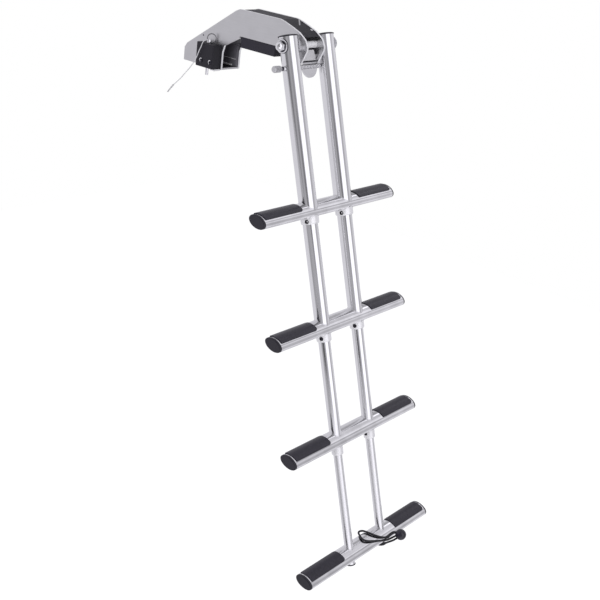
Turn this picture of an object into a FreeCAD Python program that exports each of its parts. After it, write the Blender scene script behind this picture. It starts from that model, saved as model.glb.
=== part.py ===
import FreeCAD, Part
import math
import os
import Sketcher

# Telescopic swim ladder with a gunwale hook.
# X runs along the steps, Y goes back over the gunwale into the boat, Z is up.
# The origin is the middle of the flat underside of the gunwale pad.

doc = FreeCAD.newDocument("SwimLadder")
sheet = doc.addObject("Spreadsheet::Sheet", "Sizes")


class Size:
    """A length or angle that keeps its spreadsheet expression beside its value."""

    def __init__(self, value, text):
        self.value = float(value)
        self.text = text

    def _join(self, other, sign, value, swap=False):
        text = other.text if isinstance(other, Size) else repr(float(other))
        first, last = (text, self.text) if swap else (self.text, text)
        return Size(value, f"({first} {sign} {last})")

    def __add__(self, other):
        return self._join(other, "+", self.value + number(other))

    def __radd__(self, other):
        return self._join(other, "+", number(other) + self.value, True)

    def __sub__(self, other):
        return self._join(other, "-", self.value - number(other))

    def __rsub__(self, other):
        return self._join(other, "-", number(other) - self.value, True)

    def __mul__(self, other):
        return self._join(other, "*", self.value * number(other))

    def __rmul__(self, other):
        return self._join(other, "*", number(other) * self.value, True)

    def __truediv__(self, other):
        return self._join(other, "/", self.value / number(other))

    def __neg__(self):
        return Size(-self.value, f"(0 - {self.text})")


def number(size):
    return size.value if isinstance(size, Size) else float(size)


rows = 0


def size(alias, value, note):
    """Write one driving dimension into the sheet and return it."""
    global rows
    rows += 1
    sheet.set(f"A{rows}", note)
    sheet.set(f"B{rows}", str(value))
    sheet.setAlias(f"B{rows}", alias)
    return Size(value, f"Sizes.{alias}")


# Bracket sizes
pad_depth = size("pad_depth", 23.2, "gunwale pad thickness under the arm")
pivot_y = size("pivot_y", -111.5, "pivot in front of the pad's middle")
pivot_z = size("pivot_z", 36.0, "pivot above the pad's underside")
plates_wide = size("plates_wide", 57.0, "outside of left cheek to outside of right cheek")
plate_thick = size("plate_thick", 5.0, "cheek plate thickness")
arm_top = size("arm_top", 41.8, "top edge above the pivot")
arm_under = size("arm_under", -12.8, "arm underside from the pivot")
foot_under = size("foot_under", -94.0, "foot of the hook leg from the pivot")
leg_front = size("leg_front", 211.5, "front edge of the hook leg behind the pivot")
leg_back = size("leg_back", 329.0, "rear edge of the hook leg behind the pivot")
heel_top = size("heel_top", -66.0, "top of the leg's upright rear edge")
crest_front = size("crest_front", 56.0, "front end of the level top edge")
crest_back = size("crest_back", 169.0, "rear end of the level top edge")
nose_reach = size("nose_reach", 24.0, "nose of the cheek in front of the pivot")
core_gap = size("core_gap", 1.0, "core set in from the cheek outline")
fit_gap = size("fit_gap", 0.3, "gap kept between pieces that slide")

# Ladder sizes
lean = size("lean", -18.0, "rail lean from upright when the ladder rests")
rail_apart = size("rail_apart", 111.8, "centre to centre of the two rails")
step_long = size("step_long", 420.0, "step length over the end caps")
step_deep = size("step_deep", 44.0, "long axis of the step section")
step_thick = size("step_thick", 26.5, "short axis of the step section")
step_wall = size("step_wall", 2.0, "step tube wall")
step_tilt = size("step_tilt", 27.5, "long axis of the section from square to the rails")
cap_thick = size("cap_thick", 5.0, "step end cap thickness")
tread_near = size("tread_near", 91.0, "inner end of a tread pad from the middle")
tread_far = size("tread_far", 201.0, "outer end of a tread pad from the middle")
tread_high = size("tread_high", 1.8, "tread pad thickness")
tread_front = size("tread_front", 15.0, "tread pad from the step's middle to its front edge")
tread_back = size("tread_back", 19.5, "tread pad from the step's middle to its back edge")
first_drop = size("first_drop", 327.0, "pivot down to the first step")
spacing = [
    size("spacing_one", 247.0, "step 1 to step 2"),
    size("spacing_two", 247.5, "step 2 to step 3"),
    size("spacing_three", 265.0, "step 3 to step 4"),
]
tube_wide = [
    size("tube_one", 38.1, "first section tube diameter"),
    size("tube_two", 31.75, "second section tube diameter"),
    size("tube_three", 25.4, "third section tube diameter"),
    size("tube_four", 19.05, "fourth section tube diameter"),
]
tube_wall = size("tube_wall", 1.25, "tube wall")
tube_below = [
    size("below_one", 29.0, "first tubes below their step"),
    size("below_two", 31.0, "second tubes below their step"),
    size("below_three", 35.0, "third tubes below their step"),
    size("below_four", 25.0, "fourth tubes below their step"),
]
tube_inside = size("tube_inside", 8.0, "inner tube above the step of the outer one")
button_below = size("button_below", 23.0, "snap button below the step it locks")
button_hole = size("button_hole", 4.4, "radius of the hole a snap button shows through")
button_wide = size("button_wide", 3.3, "snap button radius")
button_turn = size("button_turn", 21.0, "snap button turned from the tube's left side to its front")
bush_long = size("bush_long", 22.0, "length of the bush in a tube mouth")

# Pivot and stop sizes
pivot_bolt_wide = size("pivot_bolt_wide", 6.0, "pivot bolt radius")
pivot_fit = size("pivot_fit", 0.08, "running clearance on the pivot bolt")
stop_below = size("stop_below", 43.0, "stop pin below the pivot along the rails")
stop_behind = size("stop_behind", 2.5, "stop pin behind the middle of the rails")
stop_wide = size("stop_wide", 5.0, "stop pin radius")
tab_wide = size("tab_wide", 22.5, "radius of the round tab under the stop pin")
tab_thick = size("tab_thick", 4.0, "thickness of that tab")
rail_top = size("rail_top", 15.0, "top of the first tubes above the pivot")

# Cord sizes
wire_wide = size("wire_wide", 1.0, "lanyard wire radius")
crimp_wide = size("crimp_wide", 2.4, "lanyard crimp radius")
bungee_wide = size("bungee_wide", 2.25, "shock cord radius")
ball_wide = size("ball_wide", 12.5, "shock cord ball radius")


def bind(item, **paths):
    """Bind properties of an object to sheet expressions."""
    for path, value in paths.items():
        text = value.text if isinstance(value, Size) else repr(float(value))
        item.setExpression(path, text)
    return item


def place(item, x=0.0, y=0.0, z=0.0, angle=None, axis=(1, 0, 0)):
    """Put an object where its three expressions say, turned about an axis."""
    turn = FreeCAD.Rotation(FreeCAD.Vector(*axis), number(angle) if angle is not None else 0)
    item.Placement = FreeCAD.Placement(FreeCAD.Vector(number(x), number(y), number(z)), turn)
    for path, value in (("x", x), ("y", y), ("z", z)):
        if isinstance(value, Size):
            item.setExpression(f"Placement.Base.{path}", value.text)
    if isinstance(angle, Size):
        item.setExpression("Placement.Rotation.Angle", angle.text)
    return item


counter = 0


def add(kind, name=None):
    """A new object with a name of its own."""
    global counter
    counter += 1
    return doc.addObject(kind, name or f"Shape{counter}")


AXIS_TURN = {"x": ((0, 1, 0), 90), "y": ((1, 0, 0), -90), "z": ((0, 0, 1), 0)}


def rod(radius, length, x=0.0, y=0.0, z=0.0, along="z"):
    """A cylinder from a point along an axis."""
    item = add("Part::Cylinder")
    bind(item, Radius=radius, Height=length)
    axis, angle = AXIS_TURN[along]
    return place(item, x, y, z, angle, axis)


def block(long, deep, high, x=0.0, y=0.0, z=0.0):
    """A box with its low corner at a point."""
    item = bind(add("Part::Box"), Length=long, Width=deep, Height=high)
    return place(item, x, y, z)


def cut(base, tool):
    item = add("Part::Cut")
    item.Base = base
    item.Tool = tool
    return item


def fuse(*pieces):
    item = add("Part::MultiFuse")
    item.Shapes = list(pieces)
    return item


def common(*pieces):
    item = add("Part::MultiCommon")
    item.Shapes = list(pieces)
    return item


def group(*pieces):
    item = add("Part::Compound")
    item.Links = list(pieces)
    return item


def profile_body(corners, length, name, holes=()):
    """A padded body from a closed outline in the YZ plane, its corners bound to the sheet."""
    body = doc.addObject("PartDesign::Body", name)
    plane = next(f for f in body.Origin.OriginFeatures if f.Role == "YZ_Plane")
    sketch = body.newObject("Sketcher::SketchObject", f"{name}Outline")
    sketch.AttachmentSupport = [(plane, "")]
    sketch.MapMode = "FlatFace"
    points = [FreeCAD.Vector(number(y), number(z), 0) for y, z in corners]
    count = len(points)
    for i in range(count):
        sketch.addGeometry(Part.LineSegment(points[i], points[(i + 1) % count]), False)
    for i in range(count):
        sketch.addConstraint(Sketcher.Constraint("Coincident", i, 2, (i + 1) % count, 1))
    for i, (y, z) in enumerate(corners):
        for kind, value in (("DistanceX", y), ("DistanceY", z)):
            index = sketch.addConstraint(Sketcher.Constraint(kind, -1, 1, i, 1, number(value)))
            if isinstance(value, Size):
                sketch.setExpression(f"Constraints[{index}]", value.text)
    for y, z, radius in holes:
        middle = FreeCAD.Vector(number(y), number(z), 0)
        ring = Part.Circle(middle, FreeCAD.Vector(0, 0, 1), number(radius))
        circle = sketch.addGeometry(ring)
        index = sketch.addConstraint(Sketcher.Constraint("Radius", circle, number(radius)))
        if isinstance(radius, Size):
            sketch.setExpression(f"Constraints[{index}]", radius.text)
        for kind, value in (("DistanceX", y), ("DistanceY", z)):
            sketch.addConstraint(Sketcher.Constraint(kind, -1, 1, circle, 3, number(value)))
    pad = body.newObject("PartDesign::Pad", f"{name}Pad")
    pad.Profile = sketch
    bind(pad, Length=length)
    sketch.Visibility = False
    return body


def soften(body, radius, corners, name):
    """Round the upright corners of a padded body that stand at the given outline points."""
    doc.recompute()
    tip = body.Tip
    wanted = [(number(y), number(z)) for y, z in corners]
    picks = []
    for i, edge in enumerate(tip.Shape.Edges, 1):
        first, last = edge.Vertexes[0].Point, edge.Vertexes[-1].Point
        if abs(first.y - last.y) < 1e-6 and abs(first.z - last.z) < 1e-6:
            if any(math.hypot(first.y - y, first.z - z) < 0.05 for y, z in wanted):
                picks.append(f"Edge{i}")
    fillet = body.newObject("PartDesign::Fillet", name)
    fillet.Base = (tip, picks)
    bind(fillet, Radius=radius)
    body.Tip = fillet
    return body


nodes = []


def node(item, label):
    """Name a finished sub-part."""
    item.Label = label
    nodes.append(item)
    return item


def on_bracket(item, label, x=0.0):
    """A bracket piece, drawn from the pivot."""
    return node(place(item, x, pivot_y, pivot_z), label)


def on_ladder(item, label):
    """A ladder piece, drawn from the pivot with the rails upright, then leaned to the stop."""
    return node(place(item, 0, pivot_y, pivot_z, lean), label)


# Side plates
corners = [
    (crest_back, arm_top),
    (180.0, 37.0),
    (leg_back - 7.0, -56.0),
    (leg_back, heel_top),
    (leg_back, foot_under),
    (leg_front, foot_under),
    (leg_front, -56.0),
    (206.5, -40.5),
    (163.5, arm_under - 4.0),
    (163.5, arm_under),
    (48.0, arm_under),
    (22.0, -54.0),
    (8.0, -64.0),
    (0.0, -58.0),
    (-5.6, -50.0),
    (-5.6, -38.5),
    (-11.6, -35.0),
    (-17.0, -23.5),
    (-nose_reach, -8.5),
    (-nose_reach, -0.5),
    (-16.5, 13.0),
    (1.5, 24.7),
    (22.0, 32.2),
    (42.0, 38.5),
    (crest_front, arm_top),
]
corners = corners[::-1]
rounds = [(180.0, 37.0), (22.0, -54.0), (8.0, -64.0), (0.0, -58.0), (-16.5, 13.0)]
for side, x in (("left", -plates_wide / 2), ("right", plates_wide / 2 - plate_thick)):
    plate = profile_body(corners, plate_thick, f"Cheek{side.title()}", [(0, 0, pivot_bolt_wide)])
    plate = soften(plate, 3.0, rounds, f"CheekRounds{side.title()}")
    on_bracket(plate, f"side_plate_{side}", x)

# Core between the plates
inner_wide = plates_wide - plate_thick * 2
core_corners = [
    (crest_front, arm_top - core_gap),
    (42.0, 37.5),
    (22.0, 31.2),
    (1.5, 23.6),
    (-15.0, 12.8),
    (24.0, 12.8),
    (36.0, arm_under),
    (163.5, arm_under),
    (205.0, -38.5),
    (262.0, -38.5),
    (262.0, -17.8),
    (180.0, 35.6),
    (crest_back, arm_top - core_gap),
]
on_bracket(profile_body(core_corners, inner_wide, "Core"), "arm_core", -inner_wide / 2)

pad_wide = plates_wide - 3.0
pad_corners = [
    (62.0, arm_under),
    (62.0, arm_under - pad_depth),
    (161.0, arm_under - pad_depth),
    (161.0, arm_under),
]
on_bracket(profile_body(pad_corners, pad_wide, "PadBlock"), "gunwale_pad", -pad_wide / 2)

# Hook leg filling, liners and foot
leg_corners = [
    (262.0, foot_under + 4.0),
    (leg_back - 4.0, foot_under + 4.0),
    (leg_back - 4.0, -67.5),
    (leg_back - 10.0, -56.5),
    (262.0, -17.8),
]
on_bracket(profile_body(leg_corners, inner_wide, "LegCore"), "leg_core", -inner_wide / 2)
liner_thick = size("liner_thick", 3.0, "liner on the inside of the hook leg")
liners = []
for x, ridge_x in (
    (-inner_wide / 2, -inner_wide / 2 + liner_thick),
    (inner_wide / 2 - liner_thick, inner_wide / 2 - liner_thick - 1.0),
):
    panel = block(liner_thick, 48.0, 51.5, x, 214.0, -90.0)
    ridges = [block(1.0, 44.0, 1.6, ridge_x, 216.0, z) for z in (-68.0, -81.0)]
    liners.append(fuse(panel, *ridges))
on_bracket(group(*liners), "hook_liners")

foot = block(inner_wide, 60.0, 4.0, -inner_wide / 2, leg_front + 1.0, foot_under)
on_bracket(group(foot), "foot_web")

# Tapered web under the pivot, welded between the plates
web_front = size("web_front", -8.0, "front face of the web")
web_thick = size("web_thick", 4.0, "web thickness")
web_low = size("web_low", -33.0, "bottom of the web from the pivot")
web_high = size("web_high", 21.5, "height of the web's tapered part")
taper = add("Part::Wedge")
bind(
    taper,
    Xmin=-inner_wide / 2,
    Xmax=inner_wide / 2,
    X2min=-13.0,
    X2max=13.0,
    Ymin=0,
    Ymax=web_high,
    Zmin=0,
    Zmax=web_thick,
    Z2min=0,
    Z2max=web_thick,
)
place(taper, 0, web_front + web_thick, web_low + 2.0, 90)
lip = block(inner_wide, web_thick, 2.0, -inner_wide / 2, web_front, web_low)
on_bracket(fuse(taper, lip), "stop_tongue")

# Locking pin block
block_front = size("block_front", 214.0, "pin block front face behind the pivot")
block_long = size("block_long", 51.0, "pin block length")
block_top = size("block_top", -41.0, "pin block top from the pivot")
block_high = size("block_high", 51.0, "pin block height")
block_thick = size("block_thick", 25.0, "pin block thickness")
pin_wide = size("pin_wide", 3.5, "locking pin tip radius")
shank_wide = size("shank_wide", 4.2, "locking pin radius inside its block")
pin_back = size("pin_back", 240.5, "locking pin behind the pivot")
block_x = -plates_wide / 2 - block_thick
pin_x = -plates_wide / 2 - block_thick / 2
body = block(block_thick, block_long, block_high, block_x, block_front, block_top - block_high)
bore = rod(shank_wide + fit_gap, block_high + 2.0, pin_x, pin_back, block_top - block_high - 1.0)
on_bracket(cut(body, bore), "pin_block")
heads = [
    rod(4.2, 1.6, block_x - 1.6, pin_back + offset, -78.0, "x")
    for offset in (7.0, -20.0)
]
on_bracket(group(*heads), "block_screws")

# Locking pin
pin_tip = size("pin_tip", -109.0, "tip of the locking pin from the pivot")
eye_wide = size("eye_wide", 4.8, "radius of the pin's head above the block")
eye_high = size("eye_high", 8.0, "height of that head")
ring_wide = size("ring_wide", 9.4, "pull ring radius")
ring_thick = size("ring_thick", 1.1, "pull ring wire radius")
ring_beside = size("ring_beside", 5.2, "middle of the ring beside the pin")
block_low = block_top - block_high
seat = 0.3
tip = rod(pin_wide, block_low - pin_tip, pin_x, pin_back, pin_tip)
shank = rod(shank_wide, block_high + seat, pin_x, pin_back, block_low)
head = rod(eye_wide, eye_high, pin_x, pin_back, block_top + seat)
eye = rod(2.3, 14.0)
place(eye, pin_x - 3.68, pin_back + 4.05, block_top + 7.3, 123.4, (0.747, 0.665, 0))
on_bracket(cut(fuse(tip, shank, head), eye), "lock_pin")
ring = add("Part::Torus")
bind(ring, Radius1=ring_wide, Radius2=ring_thick)
ring_x = pin_x + ring_beside * 0.665
ring_y = pin_back - ring_beside * 0.747
ring_z = block_top + ring_wide + ring_thick + 0.2
place(ring, ring_x, ring_y, ring_z, 90, (-0.665, 0.747, 0))
on_bracket(group(ring), "pin_ring")

# Pivot
rail_out = rail_apart / 2 + tube_wide[0] / 2
rail_in = rail_apart / 2 - tube_wide[0] / 2
washer_thick = size("washer_thick", 2.0, "pivot washer thickness")
washer_wide = size("washer_wide", 14.0, "pivot washer radius")
head_thick = size("head_thick", 8.0, "pivot bolt head thickness")
nut_long = size("nut_long", 6.0, "length of the nut's flats")
sleeve_wide = size("sleeve_wide", 7.2, "radius of the sleeve between the plates")
outer = rail_out + fit_gap + washer_thick
bolt = rod(pivot_bolt_wide, outer * 2 + 6.0, -outer - 6.0, 0, 0, "x")
head = rod(10.0, head_thick, outer, 0, 0, "x")
on_bracket(fuse(bolt, head), "pivot_bolt")
hexagon = add("Part::Prism")
hexagon.Polygon = 6
bind(hexagon, Circumradius=10.5, Height=nut_long)
place(hexagon, -outer - nut_long, 0, 0, 90, (0, 1, 0))
dome = add("Part::Sphere")
bind(dome, Radius=8.6)
dome.Angle1 = 0
place(dome, -outer - nut_long, 0, 0, -90, (0, 1, 0))
nut_bore = rod(pivot_bolt_wide, 6.0, -outer - 6.0, 0, 0, "x")
on_bracket(cut(fuse(hexagon, dome), nut_bore), "pivot_nut")
washers = []
for x in (-outer, rail_out + fit_gap):
    disc = rod(washer_wide, washer_thick, x, 0, 0, "x")
    washers.append(cut(disc, rod(pivot_bolt_wide, washer_thick, x, 0, 0, "x")))
on_bracket(group(*washers), "pivot_washers")
spacers = []
spacer_long = rail_in - plates_wide / 2 - fit_gap
for x in (-rail_in + fit_gap, plates_wide / 2):
    disc = rod(washer_wide, spacer_long, x, 0, 0, "x")
    spacers.append(cut(disc, rod(pivot_bolt_wide, spacer_long, x, 0, 0, "x")))
on_bracket(group(*spacers), "pivot_spacers")
sleeve = rod(sleeve_wide, inner_wide, -inner_wide / 2, 0, 0, "x")
on_bracket(cut(sleeve, rod(pivot_bolt_wide, inner_wide, -inner_wide / 2, 0, 0, "x")), "pivot_sleeve")

# Rails
x_sides = (-rail_apart / 2, rail_apart / 2)
drops = [first_drop]
for gap in spacing:
    drops.append(drops[-1] + gap)


def ellipse_bar(deep, thick, long, x):
    """An elliptical bar along X with its long axis level, tilted with the steps."""
    curve = add("Part::Ellipse")
    bind(curve, MajorRadius=deep / 2, MinorRadius=thick / 2)
    place(curve, x, 0, 0, 120, (1, 1, 1))
    bar = add("Part::Extrusion")
    bar.Base = curve
    bar.DirMode = "Custom"
    bar.Dir = (1, 0, 0)
    bar.Solid = True
    bind(bar, LengthFwd=long)
    return bar


def tilted(item, drop):
    """Turn a piece drawn level round the step's axis and drop it to its step."""
    return place(group(item), 0, 0, -drop, step_tilt)


def button_rod(index, x, wide, radius, long):
    """A rod from a tube's face inward where a snap button locks: on its left, or inboard on the third."""
    z = -(drops[index] + button_below)
    if index < 2:
        turn = math.radians(number(button_turn))
        across, ahead = math.cos(turn), math.sin(turn)
        item = bind(add("Part::Cylinder"), Radius=radius, Height=long)
        return place(item, x - wide * across / 2, -wide * ahead / 2, z, 90, (-ahead, across, 0))
    inward = 1 if x.value < 0 else -1
    start = x + wide / 2 - long if inward > 0 else x - wide / 2
    return rod(radius, long, start, 0, z, "x")


def tubes(index):
    """The pair of rail tubes of one section."""
    pair = []
    wide = tube_wide[index]
    low = -(drops[index] + tube_below[index])
    high = rail_top if index == 0 else -(drops[index - 1] - tube_inside)
    for x in x_sides:
        tube = cut(
            rod(wide / 2, high - low, x, 0, low),
            rod(wide / 2 - tube_wall, high - low + 2.0, x, 0, low - 1.0),
        )
        if index == 0:
            hole = rod(pivot_bolt_wide + pivot_fit, wide + 2.0, x - wide / 2 - 1.0, 0, 0, "x")
            stop = rod(stop_wide, wide + 2.0, x - wide / 2 - 1.0, stop_behind, -stop_below, "x")
            tube = cut(cut(tube, hole), stop)
        if index < 3:
            tube = cut(tube, button_rod(index, x, wide, button_hole, wide / 2))
        if index > 0:
            tube = cut(tube, button_rod(index - 1, x, wide, button_wide, wide / 2))
        pair.append(tube)
    return on_ladder(group(*pair), f"rails_{index + 1}")


def step(index):
    """One step: the elliptical tube, its two end caps and its two tread pads."""
    half = step_long / 2
    shell = cut(
        ellipse_bar(step_deep, step_thick, step_long - cap_thick * 2, -half + cap_thick),
        ellipse_bar(
            step_deep - step_wall * 2,
            step_thick - step_wall * 2,
            step_long - cap_thick * 2,
            -half + cap_thick,
        ),
    )
    bar = tilted(shell, drops[index])
    for x in x_sides:
        bar = cut(bar, rod(tube_wide[index] / 2, 80.0, x, 0, -drops[index] - 40.0))
    on_ladder(bar, f"step_{index + 1}")
    caps = []
    for x in (-half, half - cap_thick):
        caps.append(ellipse_bar(step_deep, step_thick, cap_thick, x))
    on_ladder(group(tilted(group(*caps), drops[index])), f"end_caps_{index + 1}")
    pads = []
    for x in (-tread_far, tread_near):
        long = tread_far - tread_near
        skin = cut(
            ellipse_bar(step_deep + tread_high * 2, step_thick + tread_high * 2, long, x),
            ellipse_bar(step_deep, step_thick, long, x),
        )
        wide = tread_front + tread_back
        pads.append(common(skin, block(long, wide, step_thick, x, -tread_front, 0)))
    on_ladder(group(tilted(group(*pads), drops[index])), f"tread_pads_{index + 1}")


def bushes(index):
    """The bushes in the mouths of one section's tubes."""
    pair = []
    inner = tube_wide[index] / 2 - tube_wall
    low = -(drops[index] + tube_below[index])
    for x in x_sides:
        ring = cut(
            rod(inner, bush_long, x, 0, low),
            rod(tube_wide[index + 1] / 2 + fit_gap, bush_long + 2.0, x, 0, low - 1.0),
        )
        wide = tube_wide[index]
        pair.append(cut(ring, button_rod(index, x, wide, button_hole, wide / 2)))
    return on_ladder(group(*pair), f"bushes_{index + 1}")


def buttons(index):
    """The snap buttons in one section's tubes, below the step above."""
    pair = [button_rod(index - 1, x, tube_wide[index], button_wide, 5.0) for x in x_sides]
    return on_ladder(group(*pair), f"snap_buttons_{index + 1}")


# Rail caps, stop pin, its knob and its tab
cap_high = size("cap_high", 3.0, "rail top cap above the tube")
caps = []
for x in x_sides:
    caps.append(rod(tube_wide[0] / 2 + 1.0, cap_high, x, 0, rail_top))
on_ladder(group(*caps), "rail_caps")
stop_left = size("stop_left", 5.0, "stop pin beyond the left rail, up to its knob")
stop_right = size("stop_right", 1.0, "stop pin beyond the right rail")
knob_wide = size("knob_wide", 6.75, "knob radius")
knob_long = size("knob_long", 26.0, "knob length")
pin_start = -rail_out - stop_left
pin_long = rail_out * 2 + stop_left + stop_right
pin = rod(stop_wide, pin_long, pin_start, stop_behind, -stop_below, "x")
on_ladder(group(pin), "stop_pin")
knob = rod(knob_wide, knob_long, pin_start - knob_long, stop_behind, -stop_below, "x")
on_ladder(group(knob), "stop_knob")
disc = rod(tab_wide, tab_thick, 0, stop_behind - tab_thick / 2, -stop_below, "y")
upper = block(60.0, 20.0, 30.0, -30.0, -10.0, -stop_below)
tab = cut(cut(disc, upper), rod(stop_wide, 60.0, -30.0, stop_behind, -stop_below, "x"))
on_ladder(tab, "stop_tab")

for index in range(4):
    tubes(index)
    step(index)
    if index < 3:
        bushes(index)
    if index > 0:
        buttons(index)

# Plugs in the feet of the last tubes
plug_wide = size("plug_wide", 10.6, "plug flange radius")
plugs = []
for x in x_sides:
    low = -(drops[3] + tube_below[3])
    stem = rod(tube_wide[3] / 2 - tube_wall, 8.0, x, 0, low)
    plugs.append(fuse(rod(plug_wide, 2.0, x, 0, low - 2.0), stem))
on_ladder(group(*plugs), "tube_plugs")


def cord(route, radius):
    """A tube of straight runs joined by tangent arcs, swept along its route."""
    knots = [FreeCAD.Vector(*point) for point in route]
    wide = number(radius)
    edges = []
    radii = []
    start = knots[0]
    for before, here, after in zip(knots, knots[1:], knots[2:]):
        back = before - here
        ahead = after - here
        half_turn = (math.pi - back.getAngle(ahead)) / 2
        trim = 0.45 * min(back.Length, ahead.Length)
        bend = trim / math.tan(half_turn)
        radii.append(bend)
        back.normalize()
        ahead.normalize()
        inward = (back + ahead).normalize()
        middle = here + inward * (bend / math.cos(half_turn) - bend)
        edges.append(Part.LineSegment(start, here + back * trim).toShape())
        edges.append(Part.Arc(here + back * trim, middle, here + ahead * trim).toShape())
        start = here + ahead * trim
    edges.append(Part.LineSegment(start, knots[-1]).toShape())
    path = Part.Wire(edges)
    section = Part.Wire(Part.makeCircle(wide, knots[0], knots[1] - knots[0]))
    tube = path.makePipeShell([section], True, False)
    straight = math.pi * wide**2 * path.Length
    if abs(tube.Volume / straight - 1.0) > 0.01:
        raise SystemExit("cord volume is off")
    print("cord", round(path.Length, 1), "long, radii", [round(value, 1) for value in radii])
    item = add("Part::Feature")
    item.Shape = tube
    return item


# Lanyard from the pin's eye, down past the block to a crimped loop
lanyard_route = [
    (-42.9, 242.7, -35.0),
    (-49.5, 243.8, -34.6),
    (-56.2, 244.6, -39.4),
    (-57.6, 246.4, -49.0),
    (-58.2, 251.2, -58.2),
    (-58.6, 258.0, -75.4),
    (-60.5, 263.6, -86.0),
    (-64.0, 268.7, -97.0),
    (-70.0, 276.8, -110.2),
    (-78.5, 285.2, -127.0),
    (-87.0, 293.9, -138.9),
]
on_bracket(cord(lanyard_route, wire_wide), "lanyard")
crimp_start = FreeCAD.Vector(*lanyard_route[-1])
down_wire = FreeCAD.Vector(-4.6, 3.2, -8.0).normalize()
crimp_long = size("crimp_long", 9.5, "lanyard crimp length")
loop_long = size("loop_long", 9.5, "straight part of the lanyard's end loop")
across = down_wire.cross(FreeCAD.Vector(1, 0, 0)).normalize() * 1.7
loop_foot = crimp_start + down_wire * (number(crimp_long) - 1.5)
loop_head = crimp_start + down_wire * (number(crimp_long) + number(loop_long))
loop_path = Part.Wire(
    [
        Part.LineSegment(loop_foot + across, loop_head + across).toShape(),
        Part.Arc(loop_head + across, loop_head + down_wire * 1.7, loop_head - across).toShape(),
        Part.LineSegment(loop_head - across, loop_foot - across).toShape(),
    ]
)
loop_section = Part.Wire(Part.makeCircle(number(wire_wide), loop_foot + across, down_wire))
loop = add("Part::Feature")
loop.Shape = loop_path.makePipeShell([loop_section], True, False)
sleeve = add("Part::Feature")
sleeve.Shape = Part.makeCylinder(
    number(crimp_wide), number(crimp_long), crimp_start, down_wire
)
on_bracket(fuse(sleeve, loop), "lanyard_crimp")

# Shock cord on the last step: a loop from the ball and an anchor round the right tube
loop_route = [
    (79.5, -27.5, -1088.8),
    (70.5, -24.0, -1088.6),
    (58.0, -23.7, -1090.3),
    (44.1, -23.0, -1088.3),
    (30.9, -19.7, -1081.9),
    (21.5, -13.6, -1075.6),
    (15.8, -4.5, -1070.2),
    (14.4, 8.0, -1067.6),
    (15.2, 18.0, -1068.0),
    (10.5, 23.2, -1069.0),
    (2.5, 19.0, -1068.4),
    (-6.0, 9.0, -1067.5),
    (-13.9, -1.8, -1069.2),
    (-14.6, -9.7, -1072.8),
    (-6.8, -15.4, -1076.8),
    (6.1, -19.4, -1081.0),
    (19.8, -22.3, -1085.7),
    (36.9, -24.0, -1092.0),
    (54.0, -23.4, -1097.3),
    (67.6, -23.2, -1098.1),
    (77.0, -28.0, -1096.3),
]
on_ladder(cord(loop_route, bungee_wide), "bungee_loop")
anchor_route = [
    (80.0, -29.0, -1102.5),
    (72.0, -23.2, -1106.6),
    (63.0, -17.2, -1107.6),
    (53.5, -13.4, -1107.8),
    (45.6, -8.6, -1107.6),
    (43.2, 0.6, -1107.4),
    (47.6, 9.0, -1107.3),
    (55.0, 10.6, -1107.4),
]
on_ladder(cord(anchor_route, bungee_wide), "bungee_anchor")
ball = add("Part::Sphere")
bind(ball, Radius=ball_wide)
place(ball, 84.0, -36.0, -1095.0)
on_ladder(group(ball), "bungee_ball")

doc.recompute()
bad = [item.Label for item in doc.Objects if {"Invalid", "Error"} & set(item.State)]
if bad:
    raise SystemExit("not valid: " + ", ".join(bad))
os.makedirs("parts", exist_ok=True)
for item in nodes:
    if item.Shape.isNull() or not item.Shape.isValid():
        raise SystemExit("bad shape: " + item.Label)
    item.Shape.exportStep(f"parts/{item.Label}.step")
    print(item.Label, round(item.Shape.Volume / 1000.0, 2), len(item.Shape.Solids))
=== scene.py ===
import logging
import math
from dataclasses import dataclass, field
from enum import Enum
from typing import Callable, Iterable, Optional, Sequence, Union

import bmesh
import bpy
from mathutils import Matrix, Vector

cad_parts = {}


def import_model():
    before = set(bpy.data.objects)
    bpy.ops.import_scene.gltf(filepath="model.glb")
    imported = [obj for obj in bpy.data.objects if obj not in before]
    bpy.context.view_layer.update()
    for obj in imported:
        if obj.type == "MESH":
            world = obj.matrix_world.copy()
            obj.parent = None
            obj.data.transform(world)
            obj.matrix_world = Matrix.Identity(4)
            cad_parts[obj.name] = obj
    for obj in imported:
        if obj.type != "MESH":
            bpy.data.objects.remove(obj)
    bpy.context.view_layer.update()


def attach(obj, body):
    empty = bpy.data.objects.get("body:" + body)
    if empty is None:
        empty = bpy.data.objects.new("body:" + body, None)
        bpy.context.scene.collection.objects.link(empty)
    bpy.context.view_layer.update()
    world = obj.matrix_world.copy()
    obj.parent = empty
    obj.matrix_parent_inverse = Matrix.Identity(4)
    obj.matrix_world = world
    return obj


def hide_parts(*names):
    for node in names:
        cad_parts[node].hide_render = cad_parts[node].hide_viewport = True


# Looks for a telescopic swim ladder that hooks over a gunwale.
# Pieces are drawn in millimetres from the pivot and then put in the object's frame in metres.

MM = 0.001
PIVOT = Vector((0.0, -111.5, 36.0))
Point = tuple[float, float, float]
Corner = tuple[float, float]
Color = tuple[float, float, float, float]
Settings = Optional[dict[str, object]]

log = logging.getLogger("swim_ladder")


class Holder(Enum):
    """What a piece is drawn on; the value is its lean in degrees."""

    BRACKET = 0.0
    LADDER = -18.0

    def matrix(self) -> Matrix:
        """The step from drawing millimetres to the object's metres."""
        turn = Matrix.Rotation(math.radians(self.value), 4, "X")
        return Matrix.Translation(PIVOT * MM) @ turn @ Matrix.Scale(MM, 4)

    def point(self, place: Point) -> Vector:
        """One drawn point in the object's frame."""
        return self.matrix() @ Vector(place)


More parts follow.
